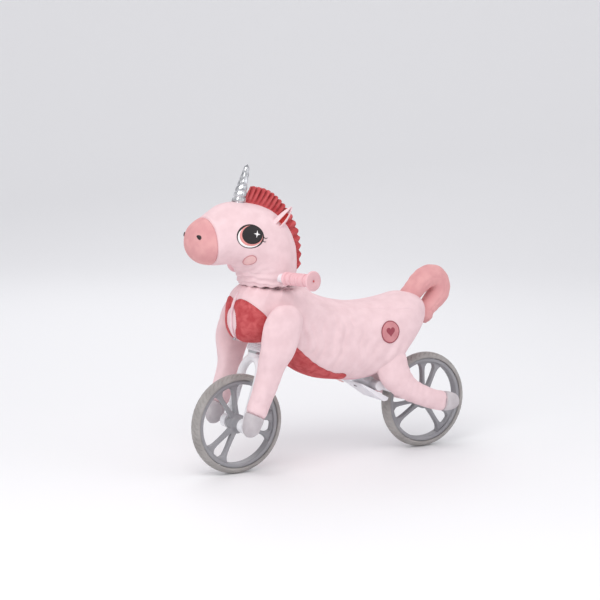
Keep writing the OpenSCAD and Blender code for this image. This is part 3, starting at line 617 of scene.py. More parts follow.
# %% A tree that repeats a piece round an axle
def wheel_tree():
    tree = bpy.data.node_groups.new("repeat_round_axle", "GeometryNodeTree")
    face = tree.interface
    face.new_socket("Geometry", in_out="INPUT", socket_type="NodeSocketGeometry")
    face.new_socket("Count", in_out="INPUT", socket_type="NodeSocketInt").default_value = 3
    face.new_socket("First Angle", in_out="INPUT", socket_type="NodeSocketFloat")
    face.new_socket("Axle", in_out="INPUT", socket_type="NodeSocketVector")
    face.new_socket("Finish", in_out="INPUT", socket_type="NodeSocketMaterial")
    face.new_socket("Geometry", in_out="OUTPUT", socket_type="NodeSocketGeometry")
    new, link = tree.nodes.new, tree.links.new
    start, end = new("NodeGroupInput"), new("NodeGroupOutput")
    points, index = new("GeometryNodePoints"), new("GeometryNodeInputIndex")
    step, turn, total = new("ShaderNodeMath"), new("ShaderNodeMath"), new("ShaderNodeMath")
    step.operation, turn.operation, total.operation = "DIVIDE", "MULTIPLY", "SUBTRACT"
    step.inputs[0].default_value = 2 * math.pi
    flip = new("ShaderNodeMath")
    flip.operation = "MULTIPLY"
    flip.inputs[1].default_value = -1
    angle = new("ShaderNodeCombineXYZ")
    place, real, finish = new("GeometryNodeInstanceOnPoints"), new("GeometryNodeRealizeInstances"), new("GeometryNodeSetMaterial")
    link(start.outputs["Count"], points.inputs["Count"])
    link(start.outputs["Axle"], points.inputs["Position"])
    link(start.outputs["Count"], step.inputs[1])
    link(step.outputs[0], turn.inputs[0])
    link(index.outputs[0], turn.inputs[1])
    link(start.outputs["First Angle"], flip.inputs[0])
    link(flip.outputs[0], total.inputs[0])
    link(turn.outputs[0], total.inputs[1])
    link(total.outputs[0], angle.inputs["Y"])
    link(points.outputs["Points"], place.inputs["Points"])
    link(start.outputs["Geometry"], place.inputs["Instance"])
    link(angle.outputs["Vector"], place.inputs["Rotation"])
    link(place.outputs["Instances"], real.inputs["Geometry"])
    link(real.outputs["Geometry"], finish.inputs["Geometry"])
    link(start.outputs["Finish"], finish.inputs["Material"])
    link(finish.outputs["Geometry"], end.inputs["Geometry"])
    return tree


REPEAT = wheel_tree()


def repeated(piece, count, first, x, finish):
    modifier = piece.modifiers.new("repeat", "NODES")
    modifier.node_group = REPEAT
    sockets = {item.name: item.identifier for item in REPEAT.interface.items_tree if item.in_out == "INPUT"}
    for label, value in (("Count", count), ("First Angle", math.radians(first)), ("Axle", (x * MM, 0.0, axle_z * MM)), ("Finish", finish)):
        modifier[sockets[label]] = value
    return settled(piece)


print("helpers ready: wheel_tree, repeated")

# %% [markdown]
# The band, spokes and hub could stay three pieces, but each wheel is meant as one moulding.
# So they are joined as one piece, and edges sharper than 38 degrees are kept crisp for the shading.

# %% The two wheel mouldings
def rim_moulding(name, x, first):
    pair = repeated(flat_plate(name + "_spokes", spoke_outline(), 15, 2.2), 3, first, x, wheel_plastic)
    w, inner = RIM_W / 2, RIM_R - BAND
    band = lathe(name + "_band", [(RIM_R - 0.6, w - 0.8), (RIM_R - 2, w), (inner + 4, w), (inner + 1.6, w - 1), (inner + 0.6, w - 3),
                                  (inner + 1.8, 4), (inner + 1.8, -4), (inner + 0.6, 3 - w), (inner + 1.6, 1 - w), (inner + 4, -w),
                                  (RIM_R - 2, -w), (RIM_R - 0.6, 0.8 - w)], x, 160)
    h = HUB_W / 2
    hub = lathe(name + "_hub", [(11.2, h - 0.4), (12, h), (15.5, h), (16.8, h - 1.2), (18, 12), (20.5, 9), (24, 7.2), (24, -7.2),
                                (20.5, -9), (18, -12), (16.8, 1.2 - h), (15.5, -h), (12, -h), (11.2, 0.4 - h), (11.2, 8 - h), (7.2, 8 - h),
                                (7.2, h - 8), (11.2, h - 8)], x, 96)
    whole = joined(name, [pair, band, hub])
    whole.modifiers.new("edges", "EDGE_SPLIT").split_angle = math.radians(38)
    return settled(whole)


for end, x, first in (("front", front_x, 70), ("rear", rear_x, 102)):
    dress(rim_moulding(end + "_wheel_moulding", x, first), end + "_wheel", "rim_grey", end + "_rim", paint=wheel_plastic)
print("wheel mouldings made, with", 3, "pairs of spokes each")

# %% [markdown]
# The foam tyre is turned too, then its tread is moulded in: short curved cuts that lean across both shoulders.
# A fine skin is pressed in where a cut runs, so the cuts catch light and shade like real ones.

# %% The two tyres with their tread
def foam_tyre(name, x):
    y = np.linspace(-15.6, 15.6, 61)
    crown = axle_z - 21.1 + np.sqrt(np.maximum(21.1**2 - y**2, 0))
    side = [(111.6, 16.4), (113.4, 16.6), (115.5, 16.4)]
    outer = list(zip(crown, y))
    low = [(110.3, -13.0), (110.4, -14.6), (110.9, -15.7)]
    high = [(110.9, 15.7), (110.4, 14.6), (110.3, 13.0)]
    left = [(r, -w) for r, w in side]
    profile = np.array(low + left + outer[6:-6] + side[::-1] + high)
    steps = 1080
    a = np.linspace(0, 2 * math.pi, steps, endpoint=False)
    r = np.repeat(profile[:, :1], steps, 1)
    yy = np.repeat(profile[:, 1:], steps, 1)
    pitch = 2 * math.pi / 54
    lean = 0.55 * pitch * (np.abs(yy) / 14) ** 1.6 * 2.2
    where = ((a[None] + lean + np.where(yy > 0, pitch / 2, 0)) / pitch) % 1
    cut = ridge((where - 0.5) * pitch * 123, 1.6) * ramp(np.abs(yy), 2.5, 5) * (1 - ramp(np.abs(yy), 14.2, 15.4))
    on_tread = (r > 116) * 1.0
    r = r - 2.3 * cut * on_tread
    p = np.stack([x + r * np.cos(a), yy, axle_z + r * np.sin(a)], -1)
    m = len(profile)
    faces = [[i * steps + j, i * steps + (j + 1) % steps, ((i + 1) % m) * steps + (j + 1) % steps, ((i + 1) % m) * steps + j]
             for i in range(m) for j in range(steps)]
    return mesh_object(name, p.reshape(-1, 3), faces)


for end, x in (("front", front_x), ("rear", rear_x)):
    tyre = foam_tyre(end + "_foam_tyre", x)
    dress(tyre, end + "_wheel", "tyre_grey", end + "_tyre", paint=tyre_foam)
print("tyre faces:", len(tyre.data.polygons))

# %% [markdown]
# The padded torso is a cover sewn from plush, pulled over the frame from below.
# Its skin comes from the table of ovals. Folds are pressed into it: soft upright folds on the flanks,
# a seam along each side of the back, and gathers that run in to the drawstring round the neck.

# %% The torso's skin with its folds
NECK = (front_x + STEER[0] / STEER[2] * (tyre_top + 217 - axle_z), tyre_top + 217)


def torso_folds(p):
    """How far each point of the torso stands out, in mm."""
    x, y, z = p[..., 0] - rear_x, p[..., 1], p[..., 2]
    side = ramp(np.abs(y), 40, 72)
    low = ramp(z, 398, 360)
    drift = lumps(p, 90, 4)
    upright = np.sin((x + 16 * drift + 0.16 * (z - 300)) / 29 * 2 * math.pi) * (0.62 + 0.5 * lumps(p, 75, 31))
    flank = (upright - 0.35 * np.abs(upright)) * ramp(x, 205, 265) * ramp(x, 470, 400) * side * low
    fine = np.sin((x + 10 * lumps(p, 60, 9) - 0.35 * (z - 300)) / 13 * 2 * math.pi) * ramp(x, 230, 300) * ramp(x, 440, 380) * side * ramp(z,
            340, 280)
    seam_z = 382 + 19 * ramp(x, 75, 300) + 24 * ramp(x, 300, 400)
    seam = ridge(z - seam_z, 2.4) * ramp(x, 60, 90) * ramp(x, 420, 330) * ramp(np.abs(y), 30, 50)
    drag = np.sin((0.75 * x + 0.66 * (z - 300) + 6 * drift) / 31 * 2 * math.pi) * ramp(x, 85, 130) * ramp(x, 260, 200) * side * ramp(z, 345,
            300)
    off = p - np.array([NECK[0], 0, NECK[1]])
    off = off - (off @ STEER)[..., None] * STEER
    reach = np.linalg.norm(off, axis=-1)
    round_ = np.arctan2(off[..., 1], off[..., 0])
    gather = np.abs(np.sin(9 * round_ + 1.2 * np.sin(2 * round_))) * np.exp(-np.maximum(reach - 70, 0) / 30) * ramp(z, 412, 440)
    zip_line = ridge(y, 5) * ramp(x, 500, 530)
    chest = np.sin((z + 9 * drift) / 22 * 2 * math.pi) * ramp(x, 470, 520) * ramp(z, 350, 300)
    thigh = 7.0 * np.exp(-((x - 128) / 46) ** 2 - ((z - 262) / 34) ** 2) * side
    collar = 8.5 * np.exp(-(((reach - 72) / 24) ** 2)) * ramp(z, 425, 450)
    return thigh + collar + 2.0 * flank + 0.25 * fine - 2.1 * seam + 1.1 * drag - 4.0 * gather - 2.2 * zip_line + 0.8 * chest + 0.9 * lumps(p, 120, 2) + 0.35 * lumps(p, 40, 3)


def torso_skin(s_values, around, out=0.0, folds=True):
    p = grid(lambda s, t: body_at(s, t, out), s_values, around)
    return p + grid_normals(p) * torso_folds(p)[..., None] if folds else p


close = 0.5 - 0.5 * np.cos(np.linspace(0, math.pi, 240))
torso = loft("plush_torso", torso_skin(0.35 * close + 0.65 * np.linspace(0, 1, 240), 220))
inside = loft("torso_inside", torso_skin(np.linspace(0.03, 0.975, 60), 60, -6.0, folds=False))


def cut_away(piece, *cutters):
    """Cuts solids out of a piece, then removes them."""
    for c in cutters:
        modifier = piece.modifiers.new("cut", "BOOLEAN")
        modifier.operation = "DIFFERENCE"
        modifier.solver = "EXACT"
        modifier.object = c
    settled(piece)
    for c in cutters:
        bpy.data.objects.remove(c)
    return piece


print("helpers ready: torso_folds, torso_skin, cut_away")

# %% [markdown]
# The cover opens below, where the beam passes, and at the neck, where the steering tube comes up.
# Both openings are cut with smooth solids, and each edge then gets a rolled hem.

# %% Openings at the belly and the neck
BELLY = (rear_x + 166, rear_x + 264, 33)          # rear edge, front edge and half width of the opening


def belly_outline(n=120):
    a = np.linspace(0, 2 * math.pi, n, endpoint=False)
    return np.stack([(BELLY[0] + BELLY[1]) / 2 + (BELLY[1] - BELLY[0]) / 2 * flat(np.cos(a), 5), BELLY[2] * flat(np.sin(a), 4)], -1)


def below_torso(xy):
    """Points on the torso's underside at (x, y), in mm."""
    s = np.interp(xy[:, 0], body_at(np.linspace(0, 1, 400), np.zeros(400))[:, 0], np.linspace(0, 1, 400))
    r = row_at(BODY_ROWS, s)
    sine = np.clip(np.abs(xy[:, 1]) / r[:, 3], 0, 1) ** 1.25
    cosine = np.sqrt(1 - sine**2)
    mid, half = (r[:, 1] + r[:, 2]) / 2, (r[:, 1] - r[:, 2]) / 2
    return np.stack([xy[:, 0], xy[:, 1], tyre_top + mid - half * cosine**0.8], -1)


outline = belly_outline()
shaft = np.stack([np.concatenate([outline, np.full((len(outline), 1), z)], 1) for z in np.linspace(150, 320, 4)])
belly_cut = loft("belly_cut", shaft, smooth=False)
a = np.linspace(0, 2 * math.pi, 72, endpoint=False)
ACROSS = np.cross(STEER, [0, 1, 0])
circle = np.cos(a)[:, None] * ACROSS + np.sin(a)[:, None] * np.array([0, 1, 0])
neck_base = np.array([NECK[0], 0, NECK[1]])
neck_cut = loft("neck_cut", np.stack([neck_base + STEER * k + 29.5 * circle for k in (-40, 0, 60)]), smooth=False)
cut_away(torso, inside, belly_cut, neck_cut)
dress(torso, "frame", "plush_pink", "body_cover", fill=0.55, paint=pink_plush)
print("torso faces after cutting:", len(torso.data.polygons))

# %% [markdown]
# A cut edge of plush is turned in and stitched, so the belly opening gets a round hem.
# The neck has a drawn-in cuff with small folds, and a dark red sheet down inside is painted shade that closes the view
# down the neck.
# Tubes and lofted rings make them, because both follow a line that is already known.

# %% Hems, the neck's gathered cuff and the painted shade inside it
rim_line = below_torso(outline)
rim_line = np.stack([np.convolve(np.concatenate([rim_line[-3:, k], rim_line[:, k], rim_line[:3, k]]), np.ones(7) / 7, "valid")
        for k in range(3)], -1)
dress(tube("belly_hem", rim_line + [0, 0, -0.4], 2.6, 12, closed=True), "frame", "plush_pink", paint=piping_cloth)
sewn("belly_hem_stitches", rim_line + [0, 0, -2.7], np.tile([0, 0, -1.0], (len(rim_line), 1)), "frame", "zip_tape", pale_thread,
        closed=True)


def neck_surface(radius, turns):
    """Height of the torso's top at a radius from the steering line, in mm."""
    way = np.cos(turns)[:, None] * ACROSS + np.sin(turns)[:, None] * np.array([0, 1, 0])
    p = neck_base + radius * way
    s = np.interp(p[:, 0], body_at(np.linspace(0, 1, 400), np.zeros(400))[:, 0], np.linspace(0, 1, 400))
    r = row_at(BODY_ROWS, s)
    sine = np.clip(np.abs(p[:, 1]) / r[:, 3], 0, 1) ** 1.25
    top = tyre_top + (r[:, 1] + r[:, 2]) / 2 + (r[:, 1] - r[:, 2]) / 2 * np.sqrt(1 - sine**2) ** 0.8
    return p + STEER * ((top - p[:, 2]) / STEER[2])[:, None]


turns = np.linspace(0, 2 * math.pi, 264, endpoint=False)
wave = 0.5 + 0.5 * np.sin(22 * turns + 0.8 * np.sin(3 * turns))
profile = [(52.0, -1.0), (48.0, 2.0), (42.0, 3.5), (36.0, 4.0), (31.0, 3.5), (29.0, -1.0), (29.2, -9.0), (32.0, -11.0)]
cuff = np.stack([neck_surface(31, turns) + (r - 31 + 1.7 * wave * (k < 5))[:, None] * (np.cos(turns)[:, None] * ACROSS
        + np.sin(turns)[:, None] * np.array([0, 1, 0]))
                 + STEER * (h + 1.6 * wave * (k < 5))[:, None] for k, (r, h) in enumerate((np.full(264, r), np.full(264, h))
                         for r, h in profile)])
dress(loft("neck_cuff", np.concatenate([cuff, cuff[:1]]), (False, False)), "frame", "plush_pink", paint=pink_plush)
# Down inside the neck, a dark red sheet is painted shade for the shadow in the opening.
well = np.stack([neck_surface(29.2 - k * 0.1, turns) - STEER * k for k in (0, 6, 14, 22)])
lining = loft("neck_lining", np.concatenate([well, [well[-1] * 0.12 + 0.88 * well[-1].mean(axis=0)]]), (False, False))
dress(lining, "frame", "velvet_rose", paint=dark_lining)
print("neck cuff folds:", 22)

# %% [markdown]
# Legs and tail are stuffed tubes. The legs start a little thin, and Blender's cloth solver blows them up
# with a light pressure while their seams stay pinned, which is how stuffing fills real fabric. The tail keeps its
# lofted shape.
# How far any point may move is capped, so that each stays in the space that the CAD keeps for it.

# %% Stuffing a piece with the cloth solver
def stuffed(piece, voxel=5.0, cap=4.0, pressure=4.0, pinned=None):
    """Remeshes a closed piece, lets light pressure fill it, and smooths it once. pinned gives a hold from 0 to 1 for each point."""
    remesh = piece.modifiers.new("remesh", "REMESH")
    remesh.mode = "VOXEL"
    remesh.voxel_size = voxel * MM
    settled(piece)
    rest = np.array([v.co for v in piece.data.vertices])
    hold = np.zeros(len(rest)) if pinned is None else np.clip(pinned(rest / MM), 0, 1)
    group = piece.vertex_groups.new(name="seams")
    for level in range(1, 11):
        chosen = np.nonzero(np.round(hold * 10) == level)[0].tolist()
        if chosen:
            group.add(chosen, level / 10, "REPLACE")
    fabric = piece.modifiers.new("cloth", "CLOTH")
    settings = fabric.settings
    settings.quality = 5
    settings.mass = 0.3
    settings.tension_stiffness = settings.compression_stiffness = 20
    settings.bending_stiffness = 1.5
    settings.use_pressure = True
    settings.uniform_pressure_force = pressure
    settings.vertex_group_mass = "seams"
    settings.effector_weights.gravity = 0
    fabric.point_cache.frame_start, fabric.point_cache.frame_end = 1, 20
    for frame_number in range(1, 21):
        scene.frame_set(frame_number)
    settled(piece)
    scene.frame_set(1)
    now = np.array([v.co for v in piece.data.vertices])
    move = now - rest
    far = np.linalg.norm(move, axis=1, keepdims=True) + 1e-12
    limit = cap * MM
    now = rest + move * (limit * np.tanh(far / limit) / far)
    piece.data.vertices.foreach_set("co", now.astype(np.float32).ravel())
    piece.vertex_groups.clear()
    piece.modifiers.new("smooth", "SUBSURF").levels = 1
    settled(piece).data.shade_smooth()
    return piece


print("helpers ready: stuffed")

# %% [markdown]
# A leg is a bent sleeve with a wide shoulder and a narrow hoof, made like the torso from a table of ovals.
# Soft creases run across it where it bends, so the folds are strongest in the middle.

# %% The legs' tables
LEG_IN, SHOULDER_IN = 74, 86.6
FRONT_LEG = np.array([[front_x + r[0], axle_z + r[1], r[2], r[3], r[4], r[5] + r[4]] for r in [
    [-99, 303, 20, 6, 4, 108], [-93, 297, 20, 29, 11, 96], [-84, 281, 18, 46, 17, 90],
    [-71, 254, 16, 53, 20, SHOULDER_IN], [-61, 222, 14, 53, 22, SHOULDER_IN], [-52, 190, 12, 49, 22, 87],
    [-41, 158, 14, 41, 21, 81], [-34, 128, 20, 36, 21, 76], [-23, 96, 26, 32, 21, LEG_IN],
    [-8, 60, 28, 29, 20, LEG_IN], [3, 34, 26, 26, 20, LEG_IN], [11, 12, 16, 24, 18, LEG_IN + 1],
    [14, -4, 8, 20, 15, LEG_IN + 4], [16, -15, 4, 8, 6, LEG_IN + 13]]])
REAR_LEG = np.array([[rear_x + r[0], axle_z + r[1], r[2], r[3], r[4], r[5] + r[4]] for r in [
    [164, 149, 130, 46, 14, 50], [143, 112, 129, 52, 20, 47], [121, 76, 128, 42, 22, 46], [94, 50, 124, 33, 23, 48],
    [58, 30, 118, 28, 21, 56], [20, 15, 108, 26, 19, 61], [-12, 8, 98, 26, 19, 61], [-36, 5, 94, 23, 17, 62],
    [-52, 3, 92, 16, 12, 66], [-60, 2, 90, 5, 4, 74]]])
FRONT_SEAM, REAR_SEAM = 0.755, 0.655


def limb(name, rows, s0, s1, rings, seam_at, folds, around=88):
    """A stuffed limb from share s0 to s1, drawn in at the seam, with folds in mm along it."""
    s = np.linspace(s0, s1, rings)
    p = grid(lambda a, t: limb_at(rows, a, t), s, around)
    t = np.linspace(0, 2 * math.pi, around, endpoint=False)[None]
    push = folds(s[:, None], t, p) - 1.7 * ridge((s - seam_at)[:, None], 0.012)
    return loft(name, p + grid_normals(p) * push[..., None])


def front_folds(s, t, p):
    bend = np.sin((s * 620 + 5 * np.sin(t) + 6 * lumps(p, 70, 5)) / 21 * 2 * math.pi)
    return 1.0 * bend * ramp(s, 0.36, 0.46) * ramp(s, 0.68, 0.56) * ramp(-np.cos(t), -0.6, 0.5) + 0.7 * lumps(p, 60, 6)


def rear_folds(s, t, p):
    bend = np.sin((s * 420 + 7 * np.cos(t) + 6 * lumps(p, 70, 7)) / 24 * 2 * math.pi)
    return 1.2 * bend * ramp(s, 0.16, 0.26) * ramp(s, 0.52, 0.36) + 0.7 * lumps(p, 60, 8)


print("helpers ready: limb, front_folds, rear_folds")

# %% [markdown]
# Each leg and hoof is stuffed on one side and mirrored to the other, as a maker sews them in pairs.
# The seam between plush and hoof stays pinned while the solver runs, then a row of stitches covers it.

# %% Four stuffed legs and their hooves
def ring_seam(rows, s, grow=0.0):
    t = np.linspace(0, 2 * math.pi, 120, endpoint=False)
    ring = limb_at(rows, np.full(120, s), t)
    centre = ring.mean(axis=0)
    out = (ring - centre) / np.linalg.norm(ring - centre, axis=1, keepdims=True)
    return ring + out * grow, out


for end, rows, seam, folds, slot_name in (("front", FRONT_LEG, FRONT_SEAM, front_folds, "plush_pink"),
        ("rear", REAR_LEG, REAR_SEAM, rear_folds, "plush_pink")):
    ring, out = ring_seam(rows, seam, -1.2)

    def near_seam(points, ring=ring):
        gap = np.min(np.linalg.norm(points[:, None] - ring[None, ::6], axis=2), axis=1)
        return 1 - ramp(gap, 4, 14)

    leg = stuffed(limb(end + "_leg", rows, 0.0, seam, 110, seam, folds), pinned=near_seam, cap=3.5)
    hoof = stuffed(limb(end + "_hoof", rows, seam, 1.0, 40, seam, lambda s, t, p: 0.5 * lumps(p, 40, 11)), voxel=4.0, pinned=near_seam,
            cap=2.5)
    other_leg, other_hoof = mirrored(end + "_leg_far", leg), mirrored(end + "_hoof_far", hoof)
    for piece, side, kind, fill, paint, slot_id in ((leg, "left", "leg", 0.8, pink_plush, "plush_pink"),
            (other_leg, "right", "leg", 0.8, pink_plush, "plush_pink"),
                                                    (hoof, "left", "hoof", 0.8, hoof_plush, "hoof_grey"), (other_hoof, "right", "hoof", 0.8,
                                                            hoof_plush, "hoof_grey")):
        piece.name = f"{end}_{kind}_{side}_plush"
        dress(piece, "frame", slot_id, f"{end}_{kind}_{side}", fill=fill, paint=paint)
    for side, way in (("left", 1), ("right", -1)):
        sewn(f"{end}_hoof_stitches_{side}", ring_seam(rows, seam, -0.9)[0] * [1, way, 1], out * [1, way, 1], "frame", "plush_pink",
                pale_thread, closed=True, height=0.7)
print("legs stuffed")

# %% [markdown]
# The tail is one fat stuffed tube that curls over and comes back to touch itself, leaving a narrow slit.

# %% The tail
TAIL = np.array([[rear_x + x, axle_z + z, r] for x, z, r in [
    [52, 272, 25], [32, 290, 26.5], [10, 311, 28.5], [-12, 323, 30], [-35, 320, 30], [-48, 300, 30],
    [-44, 276, 28.5], [-25, 255, 25.5], [-9, 236, 22], [-2, 217, 20], [1, 203, 8]]])


def tail_at(s, t):
    p = row_at(TAIL, s)
    ahead = row_at(TAIL, np.minimum(s + 0.02, 1)) - row_at(TAIL, np.maximum(s - 0.02, 0))
    u = ahead[:, :2] / np.linalg.norm(ahead[:, :2], axis=1, keepdims=True)
    return np.stack([p[:, 0] - u[:, 1] * p[:, 2] * np.cos(t), p[:, 2] * np.sin(t), p[:, 1] + u[:, 0] * p[:, 2] * np.cos(t)], -1)


p = grid(tail_at, np.linspace(0, 1, 130), 64)
s = np.linspace(0, 1, 130)[:, None]
t = np.linspace(0, 2 * math.pi, 64, endpoint=False)[None]
push = -1.6 * ridge(t - math.pi / 2, 0.07) * ramp(s, 0.1, 0.2) - 1.2 * ridge(s - 0.80, 0.014) + 0.7 * lumps(p, 70,
        13) + 0.4 * np.sin(s * 90 + 2 * np.cos(t)) * ramp(-np.cos(t), 0.2, 0.8)
tail = loft("tail_plush", p + grid_normals(p) * push[..., None])
tail.modifiers.new("smooth", "SUBSURF").levels = 1
dress(settled(tail), "frame", "plush_salmon", "tail", fill=0.85, paint=salmon_plush)
print("tail length in mm:", round(float(np.linalg.norm(np.diff(row_at(TAIL, np.linspace(0, 1, 80))[:, :2], axis=0), axis=1).sum())))

# %% [markdown]
# Sewn-on panels, badges and eyes are thin layers that lie on a curved skin.
# Each outline is drawn in side view, found on the skin, then filled with rings that dip under at the edge.

# %% Finding places on a curved skin
def on_side(surface, xz, s_span=(0.02, 0.995)):
    """Shares s and turns t of the points on the +Y side that are at (x, z) in side view."""
    s, t = np.meshgrid(np.linspace(*s_span, 120), np.linspace(0.12, math.pi - 0.12, 120), indexing="ij")
    s, t = s.ravel(), t.ravel()
    p = surface(s, t)
    found = []
    for x, z in xz:
        k = np.argmin((p[:, 0] - x) ** 2 + (p[:, 2] - z) ** 2)
        a, b = s[k], t[k]
        for _ in range(8):
            here = surface([a, a + 1e-4, a], [b, b, b + 1e-4])
            j = np.stack([(here[1] - here[0])[[0, 2]], (here[2] - here[0])[[0, 2]]], 1) / 1e-4
            step = np.linalg.lstsq(j, np.array([x, z]) - here[0, [0, 2]], rcond=None)[0]
            a, b = np.clip(a + np.clip(step[0], -0.02, 0.02), 0.001, 0.999), np.clip(b + np.clip(step[1], -0.1, 0.1), 0.02, math.pi - 0.02)
        found.append((a, b))
    return np.array(found)


def skin_points(surface, folds, s, t, out):
    """Points that stand out by out mm from a skin with its folds, and the way out there."""
    s, t = np.asarray(s, float), np.asarray(t, float)
    p = surface(s, t)
    ds = surface(np.clip(s + 1e-3, 0, 1), t) - surface(np.clip(s - 1e-3, 0, 1), t)
    dt = surface(s, t + 1e-3) - surface(s, t - 1e-3)
    n = np.cross(ds, dt)
    n /= np.linalg.norm(n, axis=-1, keepdims=True) + 1e-9
    middle = (surface(s, np.zeros_like(t)) + surface(s, np.full_like(t, math.pi))) / 2
    n *= np.sign(((p - middle) * n).sum(-1, keepdims=True))
    return p + n * (folds(p) + out)[..., None], n


print("helpers ready: on_side, skin_points")

# %% [markdown]
# A patch is cut to an outline with soft corners and laid on the skin.
# Rings that shrink to the middle fill the outline, and the last ring dips under to make a turned edge.

# %% Laying a patch on a skin
def smooth_loop(points, n=120, rounds=2):
    """A closed outline with n evenly spaced points and softened corners."""
    points = np.asarray(points, float)
    loop = np.concatenate([points, points[:1]])
    run = np.concatenate([[0], np.cumsum(np.linalg.norm(np.diff(loop, axis=0) / (np.ptp(points, axis=0) + 1e-9), axis=1))])
    where = np.linspace(0, run[-1], n, endpoint=False)
    loop = np.stack([np.interp(where, run, loop[:, k]) for k in range(points.shape[1])], -1)
    for _ in range(rounds):
        loop = sum(np.roll(loop, k, axis=0) for k in range(-3, 4)) / 7
    return loop


def layer(name, surface, folds, outline, out, rings=14, edge=0.06, under=-0.8, puff=0.0):
    """A thin layer on a skin, filled in from its outline of (s, t)."""
    centre = outline.mean(axis=0)
    shares = np.concatenate([np.linspace(0.02, 1 - edge, rings), [1 - edge / 3, 1.0, 1.01]])
    rise = np.concatenate([out + puff * (1 - np.linspace(0.02, 1 - edge, rings) ** 2), [out * 0.8, out * 0.2, under]])
    loops = []
    for f, h in zip(shares, rise):
        st = centre + (outline - centre) * f
        loops.append(skin_points(surface, folds, st[:, 0], st[:, 1], np.full(len(st), h))[0])
    made = loft(name, np.stack(loops), (True, False))
    n = skin_points(surface, folds, [centre[0]], [centre[1]], np.zeros(1))[1][0]
    normals = np.array([f.normal for f in made.data.polygons])
    areas = np.array([f.area for f in made.data.polygons])
    if ((normals @ n) * areas).sum() < 0:
        made.data.flip_normals()
    return made


def pair(make, name_of, body, slot, paint, nodes=("", ""), **how):
    """A piece on the left side and its mirror image on the right."""
    left = make
    right = mirrored(name_of("right"), left)
    left.name = name_of("left")
    for piece, node in ((left, nodes[0]), (right, nodes[1])):
        dress(piece, body, slot, *([node] if node else []), paint=paint, **how)


print("helpers ready: smooth_loop, layer, pair")

# %% [markdown]
# The chest has two velvet panels and the belly has one, sewn on top of the plush.
# Each is a thin layer laid on the torso's own skin, so it follows every fold beneath it.
# Its edge dips into the plush, and a line of stitches runs round it.

# %% Velvet panels on the chest and belly
def from_rear(points):
    return [(rear_x + x, z) for x, z in points]


chest_line = smooth_loop(on_side(body_at, from_rear([(563, 437), (553, 433), (538, 419), (518, 400), (504, 376), (504, 351), (520, 334),
        (541, 331), (560, 340), (571, 361), (573, 393), (570, 421)])))
chest = layer("chest", body_at, torso_folds, chest_line, 1.6, puff=0.6)
pair(chest, lambda side: f"chest_velvet_{side}", "frame", "velvet_rose", rose_velvet, ("chest_panel_left", "chest_panel_right"))
edge, out = skin_points(body_at, torso_folds, chest_line[:, 0], chest_line[:, 1], np.full(len(chest_line), 1.0))
for side, way in (("left", 1), ("right", -1)):
    sewn(f"chest_stitches_{side}", edge * [1, way, 1], out * [1, way, 1], "frame", "velvet_rose", rose_thread, closed=True, height=1.0)
upper = on_side(body_at, from_rear([(470, 338), (437, 321), (408, 294), (379, 271), (350, 254), (323, 241), (296, 234), (276, 231)]))
belly_line = np.concatenate([[[upper[0, 0] + 0.01, math.pi]], upper, [[upper[-1, 0] - 0.012, math.pi]],
        [[s, 2 * math.pi - t] for s, t in upper[::-1]]])
belly_line = smooth_loop(belly_line, 200, 1)
belly = layer("belly_velvet", body_at, torso_folds, belly_line, 1.5, rings=40, edge=0.03)
dress(belly, "frame", "velvet_rose", "belly_panel", paint=rose_velvet)
edge, out = skin_points(body_at, torso_folds, belly_line[:, 0], belly_line[:, 1], np.full(len(belly_line), 1.0))
sewn("belly_stitches", edge, out, "frame", "velvet_rose", rose_thread, closed=True, height=1.0)
print("velvet panels made")

# %% [markdown]
# Each flank carries a small round badge with a close satin border and a plain heart.
# The border is made of separate stitches, set across the line by the sewing tree.

# %% The round badges with a plain heart
def side_shape(surface, centre, uv):
    """An outline given in side view about a centre, as (s, t)."""
    return on_side(surface, np.asarray(uv) + centre)


BADGE = (rear_x + 162, 331)
circle_uv = np.stack([27 * np.cos(a), 27 * np.sin(a)], -1)
badge_line = side_shape(body_at, BADGE, circle_uv)
pair(layer("badge", body_at, torso_folds, badge_line, 1.4, puff=0.5), lambda side: f"badge_{side}_disc", "frame", "plush_salmon",
        badge_plush, ("badge_left", "badge_right"))
k = np.linspace(0, 2 * math.pi, 80, endpoint=False)
heart_uv = np.stack([16 * np.sin(k) ** 3, 13 * np.cos(k) - 5 * np.cos(2 * k) - 2 * np.cos(3 * k) - np.cos(4 * k) + 2], -1) * 0.82
heart_line = side_shape(body_at, BADGE, heart_uv)
print("helpers ready: side_shape")

# %% [markdown]
# A satin border is a row of stitches so close that they touch, each lying across the edge.
# A thin cord below them gives the border its round back.

# %% Satin borders
def satin_edge(name, surface, folds, line, body, slot, finish, out=1.2, width=2.6, step=0.8, both=True):
    """A border of close stitches that lie across a line on a skin."""
    edge, up = skin_points(surface, folds, line[:, 0], line[:, 1], np.full(len(line), out))
    for side, way in (("left", 1), ("right", -1))[:2 if both else 1]:
        path, n = edge * [1, way, 1], up * [1, way, 1]
        tangent = np.roll(path, -1, 0) - np.roll(path, 1, 0)
        dress(tube(f"{name}_cord_{side}", path, width * 0.33, 8, closed=True), body, slot, paint=finish)
        wide = np.cross(n, tangent / np.linalg.norm(tangent, axis=1, keepdims=True))
        sewn_across(f"{name}_satin_{side}", path, n, wide, body, slot, finish, step, width)


SATIN_HEIGHT = 1.6


def sewn_across(name, path, outward, wide, body, slot, finish, step, width):
    """Stitches that lie across a line instead of along it."""
    spots, share = evenly(path, step, True)
    return stitched(name, spots, along_share(wide, share), along_share(outward, share),
                    (width, step * 1.1, SATIN_HEIGHT), body, slot, finish)


print("satin stitches stand", SATIN_HEIGHT, "mm high")

# %% [markdown]
# The border goes round the disc, and the heart stands a little above it in the same thread.

# %% The badges' borders and hearts
satin_edge("badge_edge", body_at, torso_folds, badge_line, "frame", "plush_salmon", rose_thread, width=3.0)
pair(layer("heart", body_at, torso_folds, heart_line, 2.5, puff=0.4), lambda side: f"badge_heart_{side}", "frame", "plush_salmon",
        rose_thread)
print("badges made, 54 mm across")

